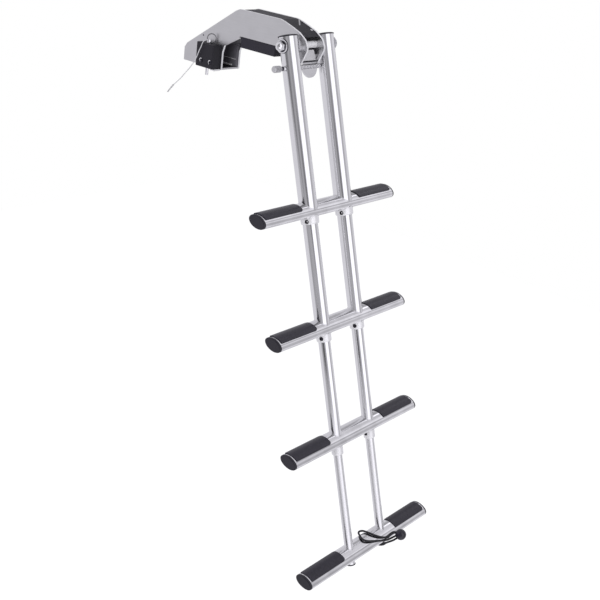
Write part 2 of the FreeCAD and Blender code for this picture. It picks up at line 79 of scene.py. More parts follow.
class Along(Enum):
    """The axis that a turned piece lies on; the value turns Z onto it."""

    X = ("Y", 90.0)
    Y = ("X", -90.0)
    Z = ("Z", 0.0)

    def matrix(self) -> Matrix:
        """The rotation from a piece turned about Z."""
        axis, angle = self.value
        return Matrix.Rotation(math.radians(angle), 4, axis)


@dataclass(frozen=True)
class Mount:
    """Where a piece belongs: the body it rides on and what it is drawn on."""

    body: str
    holder: Holder


BRACKET = Mount("bracket", Holder.BRACKET)
PIN = Mount("locking_pin", Holder.BRACKET)
SECTIONS = tuple(Mount(f"section_{number}", Holder.LADDER) for number in range(1, 5))


class Side(Enum):
    """The two sides of the ladder along X."""

    LEFT = -1
    RIGHT = 1


class Wave:
    """A shader socket that takes part in Python arithmetic."""

    def __init__(self, graph: "Graph", socket: bpy.types.NodeSocket) -> None:
        """Keep the graph that owns the socket."""
        self.graph = graph
        self.socket = socket

    def _math(self, operation: str, *values: "Number") -> "Wave":
        """Add one Math node over the given values."""
        return self.graph.add("ShaderNodeMath", {"operation": operation}, *values)

    def __add__(self, other: "Number") -> "Wave":
        """Sum."""
        return self._math("ADD", self, other)

    __radd__ = __add__

    def __mul__(self, other: "Number") -> "Wave":
        """Product."""
        return self._math("MULTIPLY", self, other)

    __rmul__ = __mul__

    def __sub__(self, other: "Number") -> "Wave":
        """Difference."""
        return self._math("SUBTRACT", self, other)

    def __rsub__(self, other: "Number") -> "Wave":
        """Reflected difference."""
        return self._math("SUBTRACT", other, self)

    def sine(self) -> "Wave":
        """Sine of an angle in radians."""
        return self._math("SINE", self)

    def angle(self, other: "Number") -> "Wave":
        """The angle in degrees whose tangent is this over the other."""
        return self._math("ARCTAN2", self, other) * (180.0 / math.pi)

    def step(self, low: float, high: float) -> "Wave":
        """A smooth step from 0 at low to 1 at high.

        Args:
            low: Where the step starts.
            high: Where it ends.

        Returns:
            The step as a wave.
        """
        settings = {"interpolation_type": "SMOOTHSTEP"}
        names = {"Value": self, "From Min": low, "From Max": high}
        return self.graph.add("ShaderNodeMapRange", settings, **names)


Number = Union[float, Wave]


class Graph:
    """The nodes of one material or world."""

    def __init__(self, tree: bpy.types.NodeTree) -> None:
        """Start from an empty tree."""
        self.tree = tree
        tree.nodes.clear()

    def add(self, kind: str, settings: Settings = None, *values: object, **named: object) -> Wave:
        """Add a node, its settings first and then its sockets.

        Args:
            kind: The node's type.
            settings: Properties of the node, set before its sockets.
            values: Values or links for the inputs in order.
            named: Values or links for the inputs by name, with _ for a space.

        Returns:
            The node's first enabled output.
        """
        node = self.tree.nodes.new(kind)
        for name, value in (settings or {}).items():
            setattr(node, name, value)
        for index, value in enumerate(values):
            self.put(node.inputs[index], value)
        for name, value in named.items():
            self.put(node.inputs[name.replace("_", " ")], value)
        return Wave(self, next((out for out in node.outputs if out.enabled), None))

    def put(self, socket: bpy.types.NodeSocket, value: object) -> None:
        """Link a wave to a socket, or set the socket's value.

        Args:
            socket: The input.
            value: A wave or a plain value.
        """
        if isinstance(value, Wave):
            self.tree.links.new(value.socket, socket)
        else:
            socket.default_value = value

    def output(self, wave: Wave, name: str) -> Wave:
        """Another output of the node that made a wave."""
        return Wave(self, wave.socket.node.outputs[name])

    def mix(self, factor: Number, first: Union[Color, Wave], second: Union[Color, Wave]) -> Wave:
        """Blend two colours.

        Args:
            factor: The share of the second colour.
            first: The first colour.
            second: The second colour.

        Returns:
            The blended colour.
        """
        node = self.tree.nodes.new("ShaderNodeMix")
        node.data_type = "RGBA"
        sockets = [s for s in node.inputs if s.enabled]
        for socket, value in zip(sockets, (factor, first, second)):
            self.put(socket, value)
        return Wave(self, next(out for out in node.outputs if out.enabled))


def shade(value: float, tint: float = 0.0) -> Color:
    """A near-neutral colour with a little violet blue."""
    return (value, value * (1.0 - tint * 0.25), value * (1.0 + tint), 1.0)


EVEN: Point = (300.0, 300.0, 300.0)
PITTED: Point = (500.0, 500.0, 500.0)
FINE: Point = (600.0, 600.0, 600.0)
ALONG_RAILS: Point = (900.0, 900.0, 14.0)
WHOLE: Point = (1.0, 1.0, 1.0)
RAILS_LEAN = -Holder.LADDER.value


@dataclass(frozen=True)
class Finish:
    """A finish that shades its pieces from their Object coordinates."""

    slot: str
    name: str
    color: float
    roughness: float
    metallic: float = 0.0
    tint: float = 0.01
    spread: float = 0.03
    grain: Point = EVEN
    bump: float = 0.08
    depth: float = 0.0001

    def material(self) -> bpy.types.Material:
        """The finish's material, made once.

        Returns:
            The material, with grain in its colour, roughness and bump.
        """
        found = bpy.data.materials.get(self.name)
        if found:
            return found
        made = bpy.data.materials.new(self.name)
        made.use_nodes = True
        graph = Graph(made.node_tree)
        self.build(graph)
        return made

    def coordinates(self, graph: Graph, scale: Point, lean: float = 0.0) -> Wave:
        """Object coordinates, leaned with the rails and scaled.

        Args:
            graph: The material's nodes.
            scale: The pattern's scale along each axis.
            lean: Turn about X in degrees.

        Returns:
            The mapped vector.
        """
        object_point = graph.output(graph.add("ShaderNodeTexCoord"), "Object")
        turn = (math.radians(lean), 0.0, 0.0)
        return graph.add("ShaderNodeMapping", None, Vector=object_point, Rotation=turn, Scale=scale)

    def noise(self, graph: Graph, vector: Wave, scale: float, detail: float = 3.0) -> Wave:
        """Noise from 0 to 1 over a vector."""
        wave = graph.add("ShaderNodeTexNoise", None, Vector=vector, Scale=scale, Detail=detail)
        return graph.output(wave, "Fac")

    def tones(self) -> tuple[Color, ...]:
        """The darkest and the lightest of the finish's colours."""
        return tuple(shade(self.color * (1.0 + turn * self.spread), self.tint) for turn in (-1.0, 1.0))

    def surface(self, graph: Graph, color: object, roughness: object, normal: Optional[Wave]) -> None:
        """The shader itself, with its constants on its sockets.

        Args:
            graph: The material's nodes.
            color: The base colour.
            roughness: The roughness.
            normal: The bumped normal, if there is one.
        """
        sockets: dict[str, object] = {"Base_Color": color, "Metallic": self.metallic, "Roughness": roughness}
        if normal is not None:
            sockets["Normal"] = normal
        shader = graph.add("ShaderNodeBsdfPrincipled", None, **sockets)
        graph.add("ShaderNodeOutputMaterial", None, Surface=shader)

    def build(self, graph: Graph) -> None:
        """Colour and roughness that vary a little, with a fine bump.

        Args:
            graph: The material's empty nodes.
        """
        broad = 28.0
        coarse = self.noise(graph, self.coordinates(graph, WHOLE), broad)
        fine = self.noise(graph, self.coordinates(graph, self.grain, RAILS_LEAN), 1.0, 4.0)
        color = graph.mix((coarse * 0.6 + fine * 0.4).step(0.3, 0.7), *self.tones())
        roughness = fine * (self.roughness * 0.35) + coarse * (self.roughness * 0.25) + self.roughness * 0.7
        normal = graph.add("ShaderNodeBump", None, Strength=self.bump, Distance=self.depth, Height=fine)
        self.surface(graph, color, roughness, normal)


@dataclass(frozen=True)
class GripRubber(Finish):
    """Moulded rubber with a fine pebbled grip."""

    pebble: float = 900.0
    mottle: float = 240.0

    def build(self, graph: Graph) -> None:
        """Pebbles over a soft mottled black, their pits darkened as painted shade.

        Args:
            graph: The material's empty nodes.
        """
        where = self.coordinates(graph, WHOLE, RAILS_LEAN)
        cells = graph.add("ShaderNodeTexVoronoi", None, Vector=where, Scale=self.pebble)
        pebbles = graph.output(cells, "Distance")
        mottle = self.noise(graph, where, self.mottle, 5.0)
        # The pebbles' share darkens their pits: painted shade; the mottle is the rubber's own uneven tone.
        color = graph.mix((mottle * 0.7 + pebbles * 0.3).step(0.25, 0.75), *self.tones())
        roughness = mottle * 0.2 + self.roughness
        normal = graph.add("ShaderNodeBump", None, Strength=self.bump, Distance=self.depth, Height=pebbles)
        self.surface(graph, color, roughness, normal)


@dataclass(frozen=True)
class Braid(Finish):
    """A braided or laid cord, patterned on the piece's own map."""

    turns: float = 8.0
    picks: float = 600.0

    def build(self, graph: Graph) -> None:
        """Two crossing sets of strands over the cord's map, with painted shade in the hollows and painted
        highlight on the crests.

        Args:
            graph: The material's empty nodes.
        """
        place = graph.output(graph.add("ShaderNodeTexCoord"), "UV")
        apart = graph.add("ShaderNodeSeparateXYZ", None, Vector=place)
        along, around = graph.output(apart, "X"), graph.output(apart, "Y")
        travel, turn = along * self.picks, around * (self.turns * math.tau)
        weave = (travel + turn).sine() * (travel - turn).sine() * 0.5 + 0.5
        # Painted shade and painted highlight: the colour is darker in the weave's hollows and lighter on its
        # crests.
        hollow, crest = 0.55, 1.3
        color = graph.mix(weave, *(shade(self.color * part, self.tint) for part in (hollow, crest)))
        roughness = weave * 0.15 + self.roughness
        normal = graph.add("ShaderNodeBump", None, Strength=self.bump, Distance=self.depth, Height=weave)
        self.surface(graph, color, roughness, normal)


POLISHED = Finish(
    "polished_steel", "polished steel", 0.88, 0.10, metallic=1.0, spread=0.02, grain=ALONG_RAILS, bump=0.05,
)
BRUSHED = Finish(
    "polished_steel", "finely brushed tube", 0.88, 0.24, metallic=1.0, grain=ALONG_RAILS, bump=0.06,
)
# Frosted steel for the tube mouths; the same finish paints highlights on the cheeks' edges, the housing
# screws and the snap buttons.
FROSTED_AND_HIGHLIGHT = Finish("polished_steel", "frosted steel and painted highlight", 0.90, 0.36, metallic=0.45)
WEB_STEEL = Finish("satin_steel", "satin web", 0.74, 0.36, metallic=0.45)
TURNED = Finish(
    "polished_steel", "turned steel", 0.78, 0.17, metallic=1.0, spread=0.05, grain=(60.0, 700.0, 700.0),
)
STEP_STEEL = Finish(
    "polished_steel", "drawn step tube", 0.85, 0.09, metallic=1.0, spread=0.13, grain=(3.0, 360.0, 360.0),
    bump=0.20, depth=0.0003,
)
# Painted light: a pale finish that lightens the liners' ribs and the pivot sleeve, which sit in shade.
LIGHTENED_PALE = Finish("satin_steel", "pale painted light", 0.90, 0.45)
# Painted reflection: polished steel darkened to stand for the dark reflection that the pull ring shows.
RING_STEEL = Finish(
    "polished_steel", "darkened ring steel", 0.26, 0.20, metallic=1.0, tint=0.02, spread=0.05, grain=FINE,
)
# Blackened steel for the housing screws and the set screw; the same finish paints shade on the hinge rings,
# the thread's roots, the knob's neck and the snap buttons.
DARK_STEEL = Finish(
    "polished_steel", "blackened steel and painted shade", 0.06, 0.22, metallic=0.9, tint=0.20, spread=0.08, grain=FINE,
)
SATIN = Finish(
    "satin_steel", "satin plate", 0.66, 0.32, metallic=1.0, spread=0.04, grain=(420.0, 24.0, 420.0),
    bump=0.10,
)
BLACK = Finish(
    "black_plastic", "black plastic", 0.009, 0.36, tint=0.50, spread=0.12, grain=PITTED,
    bump=0.10, depth=0.0002,
)
BALL = Finish(
    "black_plastic", "glossy ball", 0.014, 0.24, tint=0.50, spread=0.12, grain=PITTED,
    bump=0.10, depth=0.0002,
)
MOULDING = Finish(
    "black_plastic", "matt moulding", 0.006, 0.55, tint=0.60, spread=0.15, grain=PITTED,
    bump=0.12, depth=0.0002,
)
# Painted light: black plastic made lighter so the shaded inside of the hook shows.
LIGHTENED_LINER = Finish(
    "black_plastic", "liner plastic lightened against shade", 0.15, 0.34, tint=0.10, spread=0.15, grain=PITTED,
    bump=0.10, depth=0.0002,
)
PAD = Finish(
    "pad_rubber", "pad rubber", 0.013, 0.60, tint=0.50, spread=0.12, grain=(650.0, 650.0, 650.0),
    bump=0.15, depth=0.0002,
)
TREAD = GripRubber("tread_pad", "tread rubber", 0.015, 0.22, tint=0.45, spread=0.45, bump=0.22, depth=0.0003)
WIRE = Braid(
    "wire", "lanyard wire", 0.66, 0.35, metallic=0.35, tint=0.02, bump=0.3, depth=0.0002,
    turns=2.0, picks=2600.0,
)
CRIMP = Finish(
    "wire", "crimped sleeve", 0.46, 0.36, metallic=0.10, tint=0.02, spread=0.08, grain=FINE,
    bump=0.12, depth=0.0002,
)
SHOCK_CORD = Braid(
    "shock_cord", "shock cord", 0.014, 0.62, tint=0.20, bump=0.5, depth=0.0004, turns=3.0, picks=2400.0,
)


def circle(wide: float, count: int, high: Optional[float] = None) -> list[Corner]:
    """Points round a circle, or round an ellipse where a second radius is given.

    Args:
        wide: The radius, or the first of two.
        count: Points round.
        high: The second radius of an ellipse.

    Returns:
        The points, from the first axis towards the second.
    """
    tall = wide if high is None else high
    turns = [math.tau * i / count for i in range(count)]
    return [(wide * math.cos(turn), tall * math.sin(turn)) for turn in turns]


def quarter(count: int) -> list[Corner]:
    """Sine and cosine pairs from 0 to a quarter turn."""
    turns = [math.pi / 2 * i / count for i in range(count + 1)]
    return [(math.sin(turn), math.cos(turn)) for turn in turns]


class Shape:
    """A mesh under construction, in drawing millimetres."""

    def __init__(self, mesh: Optional[bmesh.types.BMesh] = None) -> None:
        """Start empty or from a bmesh."""
        self.mesh = mesh or bmesh.new()

    def closed(self) -> "Shape":
        """Merge doubles and face outwards.

        Returns:
            The shape itself.
        """
        bmesh.ops.remove_doubles(self.mesh, verts=self.mesh.verts, dist=1e-4)
        bmesh.ops.recalc_face_normals(self.mesh, faces=self.mesh.faces)
        return self

    def moved(self, matrix: Matrix) -> "Shape":
        """Move the shape in place."""
        bmesh.ops.transform(self.mesh, matrix=matrix, verts=self.mesh.verts)
        return self

    def mirrored(self) -> "Shape":
        """A copy on the other side of X = 0, facing outwards.

        Returns:
            The copy.
        """
        twin = Shape(self.mesh.copy())
        twin.moved(Matrix.Scale(-1.0, 4, Vector((1.0, 0.0, 0.0))))
        return twin.closed()

    def join(self, *others: "Shape") -> "Shape":
        """Take in other shapes as separate shells.

        Args:
            others: The shapes.

        Returns:
            The shape itself.
        """
        for other in others:
            data = bpy.data.meshes.new("part")
            other.mesh.to_mesh(data)
            self.mesh.from_mesh(data)
            bpy.data.meshes.remove(data)
        return self

    @staticmethod
    def rings(rows: Sequence[Sequence[Vector]], capped: bool = True, wrapped: bool = False) -> "Shape":
        """Skin rows of points that each go round.

        Args:
            rows: Closed rows with the same number of points.
            capped: Close the first and last rows.
            wrapped: Join the last row to the first.

        Returns:
            The closed shape.
        """
        mesh = bmesh.new()
        grid = [[mesh.verts.new(point) for point in row] for row in rows]
        count = len(grid[0])
        pairs = list(zip(grid, grid[1:])) + ([(grid[-1], grid[0])] if wrapped else [])
        for low, high in pairs:
            for i in range(count):
                j = (i + 1) % count
                mesh.faces.new((low[i], low[j], high[j], high[i]))
        if capped and not wrapped:
            mesh.faces.new(grid[0])
            mesh.faces.new(grid[-1])
        return Shape(mesh).closed()

    @staticmethod
    def prism(outline: Sequence[Corner], low: float, high: float) -> "Shape":
        """A YZ outline padded along X."""
        rows = [[Vector((x, y, z)) for y, z in outline] for x in (low, high)]
        return Shape.rings(rows)

    @staticmethod
    def box(low: Point, high: Point) -> "Shape":
        """A box between two corners."""
        outline = [(low[1], low[2]), (high[1], low[2]), (high[1], high[2]), (low[1], high[2])]
        return Shape.prism(outline, low[0], high[0])

    @staticmethod
    def turned(
        profile: Sequence[Corner], along: Along = Along.Z, at: Point = (0.0, 0.0, 0.0), count: int = 96,
    ) -> "Shape":
        """A profile of radius and height turned about an axis.

        Args:
            profile: Radius and height pairs; a radius of 0 at both ends closes on the axis,
                and otherwise the profile is closed round a bore.
            along: The axis that it is turned about.
            at: Where the axis starts.
            count: Points round.

        Returns:
            The turned shape.
        """
        nearly_none = 1e-6
        rows = [
            [Vector((x, y, height)) for x, y in circle(max(radius, nearly_none), count)]
            for radius, height in profile
        ]
        bored = profile[0][0] > 0
        shape = Shape.rings(rows, capped=False, wrapped=bored)
        return shape.moved(Matrix.Translation(Vector(at)) @ along.matrix()).closed()


def rounded(
    outline: Sequence[Corner], radius: float, only: Optional[Iterable[int]] = None, steps: int = 5,
) -> list[Corner]:
    """An outline with its corners rounded.

    Args:
        outline: The corners in order.
        radius: The radius wished for, less where the sides are short.
        only: The corners to round, or all of them.
        steps: Pieces in each arc.

    Returns:
        The new outline.
    """
    picked = set(range(len(outline)) if only is None else only)
    points: list[Corner] = []
    count = len(outline)
    for i, corner in enumerate(outline):
        here = Vector((*corner, 0.0))
        if i not in picked:
            points.append(corner)
            continue
        back = Vector((*outline[i - 1], 0.0)) - here
        ahead = Vector((*outline[(i + 1) % count], 0.0)) - here
        half = back.angle(ahead) / 2
        trim = min(radius / math.tan(half), 0.45 * back.length, 0.45 * ahead.length)
        first, last = here + back.normalized() * trim, here + ahead.normalized() * trim
        for k in range(steps + 1):
            t = k / steps
            point = first * (1 - t) ** 2 + here * (2 * t * (1 - t)) + last * t**2
            points.append((point.x, point.y))
    return points


def drum(radius: float, low: float, high: float, edge: float = 0.6) -> list[Corner]:
    """A solid cylinder's profile with softened rims."""
    return rounded([(0.0, low), (radius, low), (radius, high), (0.0, high)], edge, (1, 2), 4)


def collar(outer: float, inner: float, low: float, high: float, edge: float = 0.4) -> list[Corner]:
    """A hollow cylinder's profile with softened rims."""
    return rounded([(inner, low), (outer, low), (outer, high), (inner, high)], edge, None, 3)


class Tree:
    """A Geometry Nodes tree with named inputs."""

    def __init__(self, name: str) -> None:
        """Start with a geometry in and a geometry out.

        Args:
            name: The tree's name.
        """
        self.tree = bpy.data.node_groups.new(name, "GeometryNodeTree")
        self.tree.interface.new_socket("Geometry", in_out="INPUT", socket_type="NodeSocketGeometry")
        self.tree.interface.new_socket("Geometry", in_out="OUTPUT", socket_type="NodeSocketGeometry")
        self.start = self.tree.nodes.new("NodeGroupInput")
        self.end = self.tree.nodes.new("NodeGroupOutput")

    def input(self, name: str, kind: str) -> bpy.types.NodeSocket:
        """Add a named input and return its socket inside the tree."""
        self.tree.interface.new_socket(name, in_out="INPUT", socket_type=kind)
        return self.start.outputs[name]

    def add(self, kind: str, settings: Settings = None, **named: object) -> bpy.types.Node:
        """Add a node, its settings first and then its sockets.

        Args:
            kind: The node's type.
            settings: Properties of the node, set before its sockets.
            named: Values or links for the inputs by name, with _ for a space.

        Returns:
            The node.
        """
        node = self.tree.nodes.new(kind)
        for name, value in (settings or {}).items():
            setattr(node, name, value)
        for name, value in named.items():
            self.put(node, name.replace("_", " "), value)
        return node

    def put(self, node: bpy.types.Node, name: str, value: object) -> None:
        """Link or set one input of a node.

        Args:
            node: The node.
            name: The input's name.
            value: A socket or a plain value.
        """
        socket = next(s for s in node.inputs if s.name == name and s.enabled)
        if isinstance(value, bpy.types.NodeSocket):
            self.tree.links.new(value, socket)
        else:
            socket.default_value = value

    def math(self, operation: str, *values: object) -> bpy.types.NodeSocket:
        """Add one Math node.

        Args:
            operation: The node's operation.
            values: Sockets and numbers in order.

        Returns:
            The node's result.
        """
        node = self.add("ShaderNodeMath", {"operation": operation})
        for socket, value in zip(node.inputs, values):
            if isinstance(value, bpy.types.NodeSocket):
                self.tree.links.new(value, socket)
            else:
                socket.default_value = value
        return node.outputs[0]

    def line(self, count: object, first: object, stride: object) -> bpy.types.Node:
        """A row of points, each a stride from the last.

        Args:
            count: Number of points.
            first: The first point.
            stride: From each point to the next.

        Returns:
            The node that makes the points.
        """
        settings = {"mode": "OFFSET"}
        return self.add("GeometryNodeMeshLine", settings, Count=count, Start_Location=first, Offset=stride)

    def placed(self, line: bpy.types.Node, **named: object) -> bpy.types.NodeSocket:
        """Put the incoming geometry on a line's points.

        Args:
            line: The points.
            named: More inputs of the instances.

        Returns:
            The instances.
        """
        piece = self.start.outputs["Geometry"]
        node = self.add("GeometryNodeInstanceOnPoints", None, Points=line.outputs[0], Instance=piece, **named)
        return node.outputs[0]

    def close(self, geometry: bpy.types.NodeSocket, material: bpy.types.NodeSocket) -> None:
        """End in Realize Instances and Set Material.

        Args:
            geometry: The last geometry.
            material: The material's input.
        """
        real = self.add("GeometryNodeRealizeInstances", None, Geometry=geometry)
        dressed = self.add("GeometryNodeSetMaterial", None, Geometry=real.outputs[0], Material=material)
        self.tree.links.new(dressed.outputs[0], self.end.inputs[0])


def row_tree() -> bpy.types.NodeTree:
    """A tree that repeats its geometry along a straight row.

    Returns:
        The tree.
    """
    tree = Tree("row of pieces")
    count = tree.input("Count", "NodeSocketInt")
    first = tree.input("First", "NodeSocketVector")
    stride = tree.input("Stride", "NodeSocketVector")
    material = tree.input("Material", "NodeSocketMaterial")
    tree.close(tree.placed(tree.line(count, first, stride)), material)
    return tree.tree


def ring_tree() -> bpy.types.NodeTree:
    """A tree that repeats its geometry round the X axis.

    Returns:
        The tree.
    """
    tree = Tree("ring of pieces")
    count = tree.input("Count", "NodeSocketInt")
    middle = tree.input("Middle", "NodeSocketVector")
    material = tree.input("Material", "NodeSocketMaterial")
    line = tree.line(count, middle, (0.0, 0.0, 0.0))
    share = tree.math("DIVIDE", tree.add("GeometryNodeInputIndex").outputs[0], count)
    angles = tree.add("ShaderNodeCombineXYZ", None, X=tree.math("MULTIPLY", share, math.tau))
    tree.close(tree.placed(line, Rotation=angles.outputs[0]), material)
    return tree.tree


def bead_tree() -> bpy.types.NodeTree:
    """A tree that lays a rippled weld bead along its edges.

    Returns:
        The tree.
    """
    tree = Tree("weld bead")
    radius = tree.input("Radius", "NodeSocketFloat")
    ripple = tree.input("Ripple", "NodeSocketFloat")
    seed = tree.input("Seed", "NodeSocketFloat")
    material = tree.input("Material", "NodeSocketMaterial")
    path = tree.add("GeometryNodeMeshToCurve", None, Mesh=tree.start.outputs["Geometry"])
    noise = tree.add("ShaderNodeTexNoise", {"noise_dimensions": "4D"}, W=seed, Scale=0.9, Detail=1.0)
    swell = tree.math("MULTIPLY_ADD", noise.outputs[0], ripple, radius)
    section = tree.add("GeometryNodeCurvePrimitiveCircle", {"mode": "RADIUS"}, Resolution=10, Radius=1.0)
    thick = tree.add("GeometryNodeSetCurveRadius", None, Curve=path.outputs[0], Radius=swell)
    curves = {"Curve": thick.outputs[0], "Profile_Curve": section.outputs[0]}
    swept = tree.add("GeometryNodeCurveToMesh", None, **curves)
    if "Scale" in swept.inputs:
        tree.tree.links.new(swell, swept.inputs["Scale"])
    tree.close(swept.outputs[0], material)
    return tree.tree


@dataclass
class Workshop:
    """Turns shapes into finished pieces of the scene."""

    made: list[str] = field(default_factory=list)
    trees: dict[str, bpy.types.NodeTree] = field(default_factory=dict)

    def tree(self, name: str, maker: Callable[[], bpy.types.NodeTree]) -> bpy.types.NodeTree:
        """A tree, made once.

        Args:
            name: What it is kept under.
            maker: What makes it.

        Returns:
            The tree.
        """
        if name not in self.trees:
            self.trees[name] = maker()
        return self.trees[name]

    def trial(self, shape: Shape) -> bpy.types.Object:
        """A bench object for a shape, in drawing millimetres.

        Args:
            shape: The shape.

        Returns:
            The object.
        """
        data = bpy.data.meshes.new("bench")
        shape.mesh.to_mesh(data)
        item = bpy.data.objects.new("bench", data)
        bpy.context.scene.collection.objects.link(item)
        return item

    def settle(self, item: bpy.types.Object) -> bpy.types.Mesh:
        """Evaluate a bench object's modifiers to a plain mesh and clear it away.

        Args:
            item: The object.

        Returns:
            Its mesh with the modifiers applied.
        """
        bpy.context.view_layer.update()
        graph = bpy.context.evaluated_depsgraph_get()
        final = item.evaluated_get(graph)
        mesh = bpy.data.meshes.new_from_object(final, preserve_all_data_layers=True, depsgraph=graph)
        bpy.data.objects.remove(item, do_unlink=True)
        return mesh

    def soften(self, shape: Shape, width: float, segments: int = 3, angle: float = 30.0) -> Shape:
        """Bevel a shape's sharp edges.

        Args:
            shape: The shape.
            width: The bevel's width.
            segments: Steps in the bevel.
            angle: Edges sharper than this many degrees are bevelled.

        Returns:
            The eased shape.
        """
        item = self.trial(shape)
        bevel = item.modifiers.new("rims", "BEVEL")
        bevel.width = width
        bevel.segments = segments
        bevel.limit_method = "ANGLE"
        bevel.angle_limit = math.radians(angle)
        return self.taken(self.settle(item))

    def carve(self, shape: Shape, *tools: Shape) -> Shape:
        """Cut tools out of a shape.

        Args:
            shape: The shape.
            tools: What is cut out of it.

        Returns:
            The cut shape.
        """
        item = self.trial(shape)
        cutters = []
        for tool in tools:
            cutter = self.trial(tool)
            cut = item.modifiers.new("cut", "BOOLEAN")
            cut.operation = "DIFFERENCE"
            cut.solver = "EXACT"
            cut.object = cutter
            cutters.append(cutter)
        mesh = self.settle(item)
        for cutter in cutters:
            bpy.data.objects.remove(cutter, do_unlink=True)
        return self.taken(mesh)

    def grown(self, shape: Shape, tree: bpy.types.NodeTree, finish: Finish, **inputs: object) -> Shape:
        """Run a tree over a shape and take its result as a plain shape.

        Args:
            shape: The geometry that goes into the tree.
            tree: The tree.
            finish: The finish that the tree sets.
            inputs: The tree's named inputs.

        Returns:
            The realised shape.
        """
        item = self.trial(shape)
        modifier = item.modifiers.new("nodes", "NODES")
        modifier.node_group = tree
        values = {**inputs, "Material": finish.material()}
        for socket in tree.interface.items_tree:
            if getattr(socket, "in_out", "") == "INPUT" and socket.name in values:
                modifier[socket.identifier] = values[socket.name]
        return self.taken(self.settle(item))

    @staticmethod
    def taken(mesh: bpy.types.Mesh) -> Shape:
        """A shape from a plain mesh, which is then dropped.

        Args:
            mesh: The mesh.

        Returns:
            The shape.
        """
        shape = Shape()
        shape.mesh.from_mesh(mesh)
        bpy.data.meshes.remove(mesh)
        return shape

    def row(self, shape: Shape, finish: Finish, count: int, first: Point, stride: Point) -> Shape:
        """A straight row of a shape."""
        tree = self.tree("row", row_tree)
        return self.grown(shape, tree, finish, Count=count, First=first, Stride=stride)

    def both(self, shape: Shape, finish: Finish, apart: float, height: float = 0.0) -> Shape:
        """A shape on each of the two rails."""
        return self.row(shape, finish, 2, (-apart / 2, 0.0, height), (apart, 0.0, 0.0))

    def piece(
        self,
        name: str,
        shape: Shape,
        finish: Finish,
        mount: Mount,
        *nodes: str,
        smooth: float = 32.0,
    ) -> bpy.types.Object:
        """Finish a shape as a piece of the scene.

        Args:
            name: The piece's name.
            shape: Its mesh in drawing millimetres.
            finish: Its finish.
            mount: Where it belongs.
            nodes: The nodes it stands for.
            smooth: Edges sharper than this many degrees stay sharp.

        Returns:
            The piece.
        """
        item = self.trial(shape)
        item.data.transform(mount.holder.matrix())
        for face in item.data.polygons:
            face.use_smooth = True
            face.material_index = 0
        item.data.set_sharp_from_angle(angle=math.radians(smooth))
        weight = item.modifiers.new("weights", "WEIGHTED_NORMAL")
        weight.keep_sharp = True
        mesh = self.settle(item)
        mesh.materials.clear()
        mesh.materials.append(finish.material())
        mesh.name = name
        made = bpy.data.objects.new(name, mesh)
        bpy.context.scene.collection.objects.link(made)
        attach(made, mount.body)
        if nodes:
            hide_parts(*nodes)
        self.made.append(name)
        return made


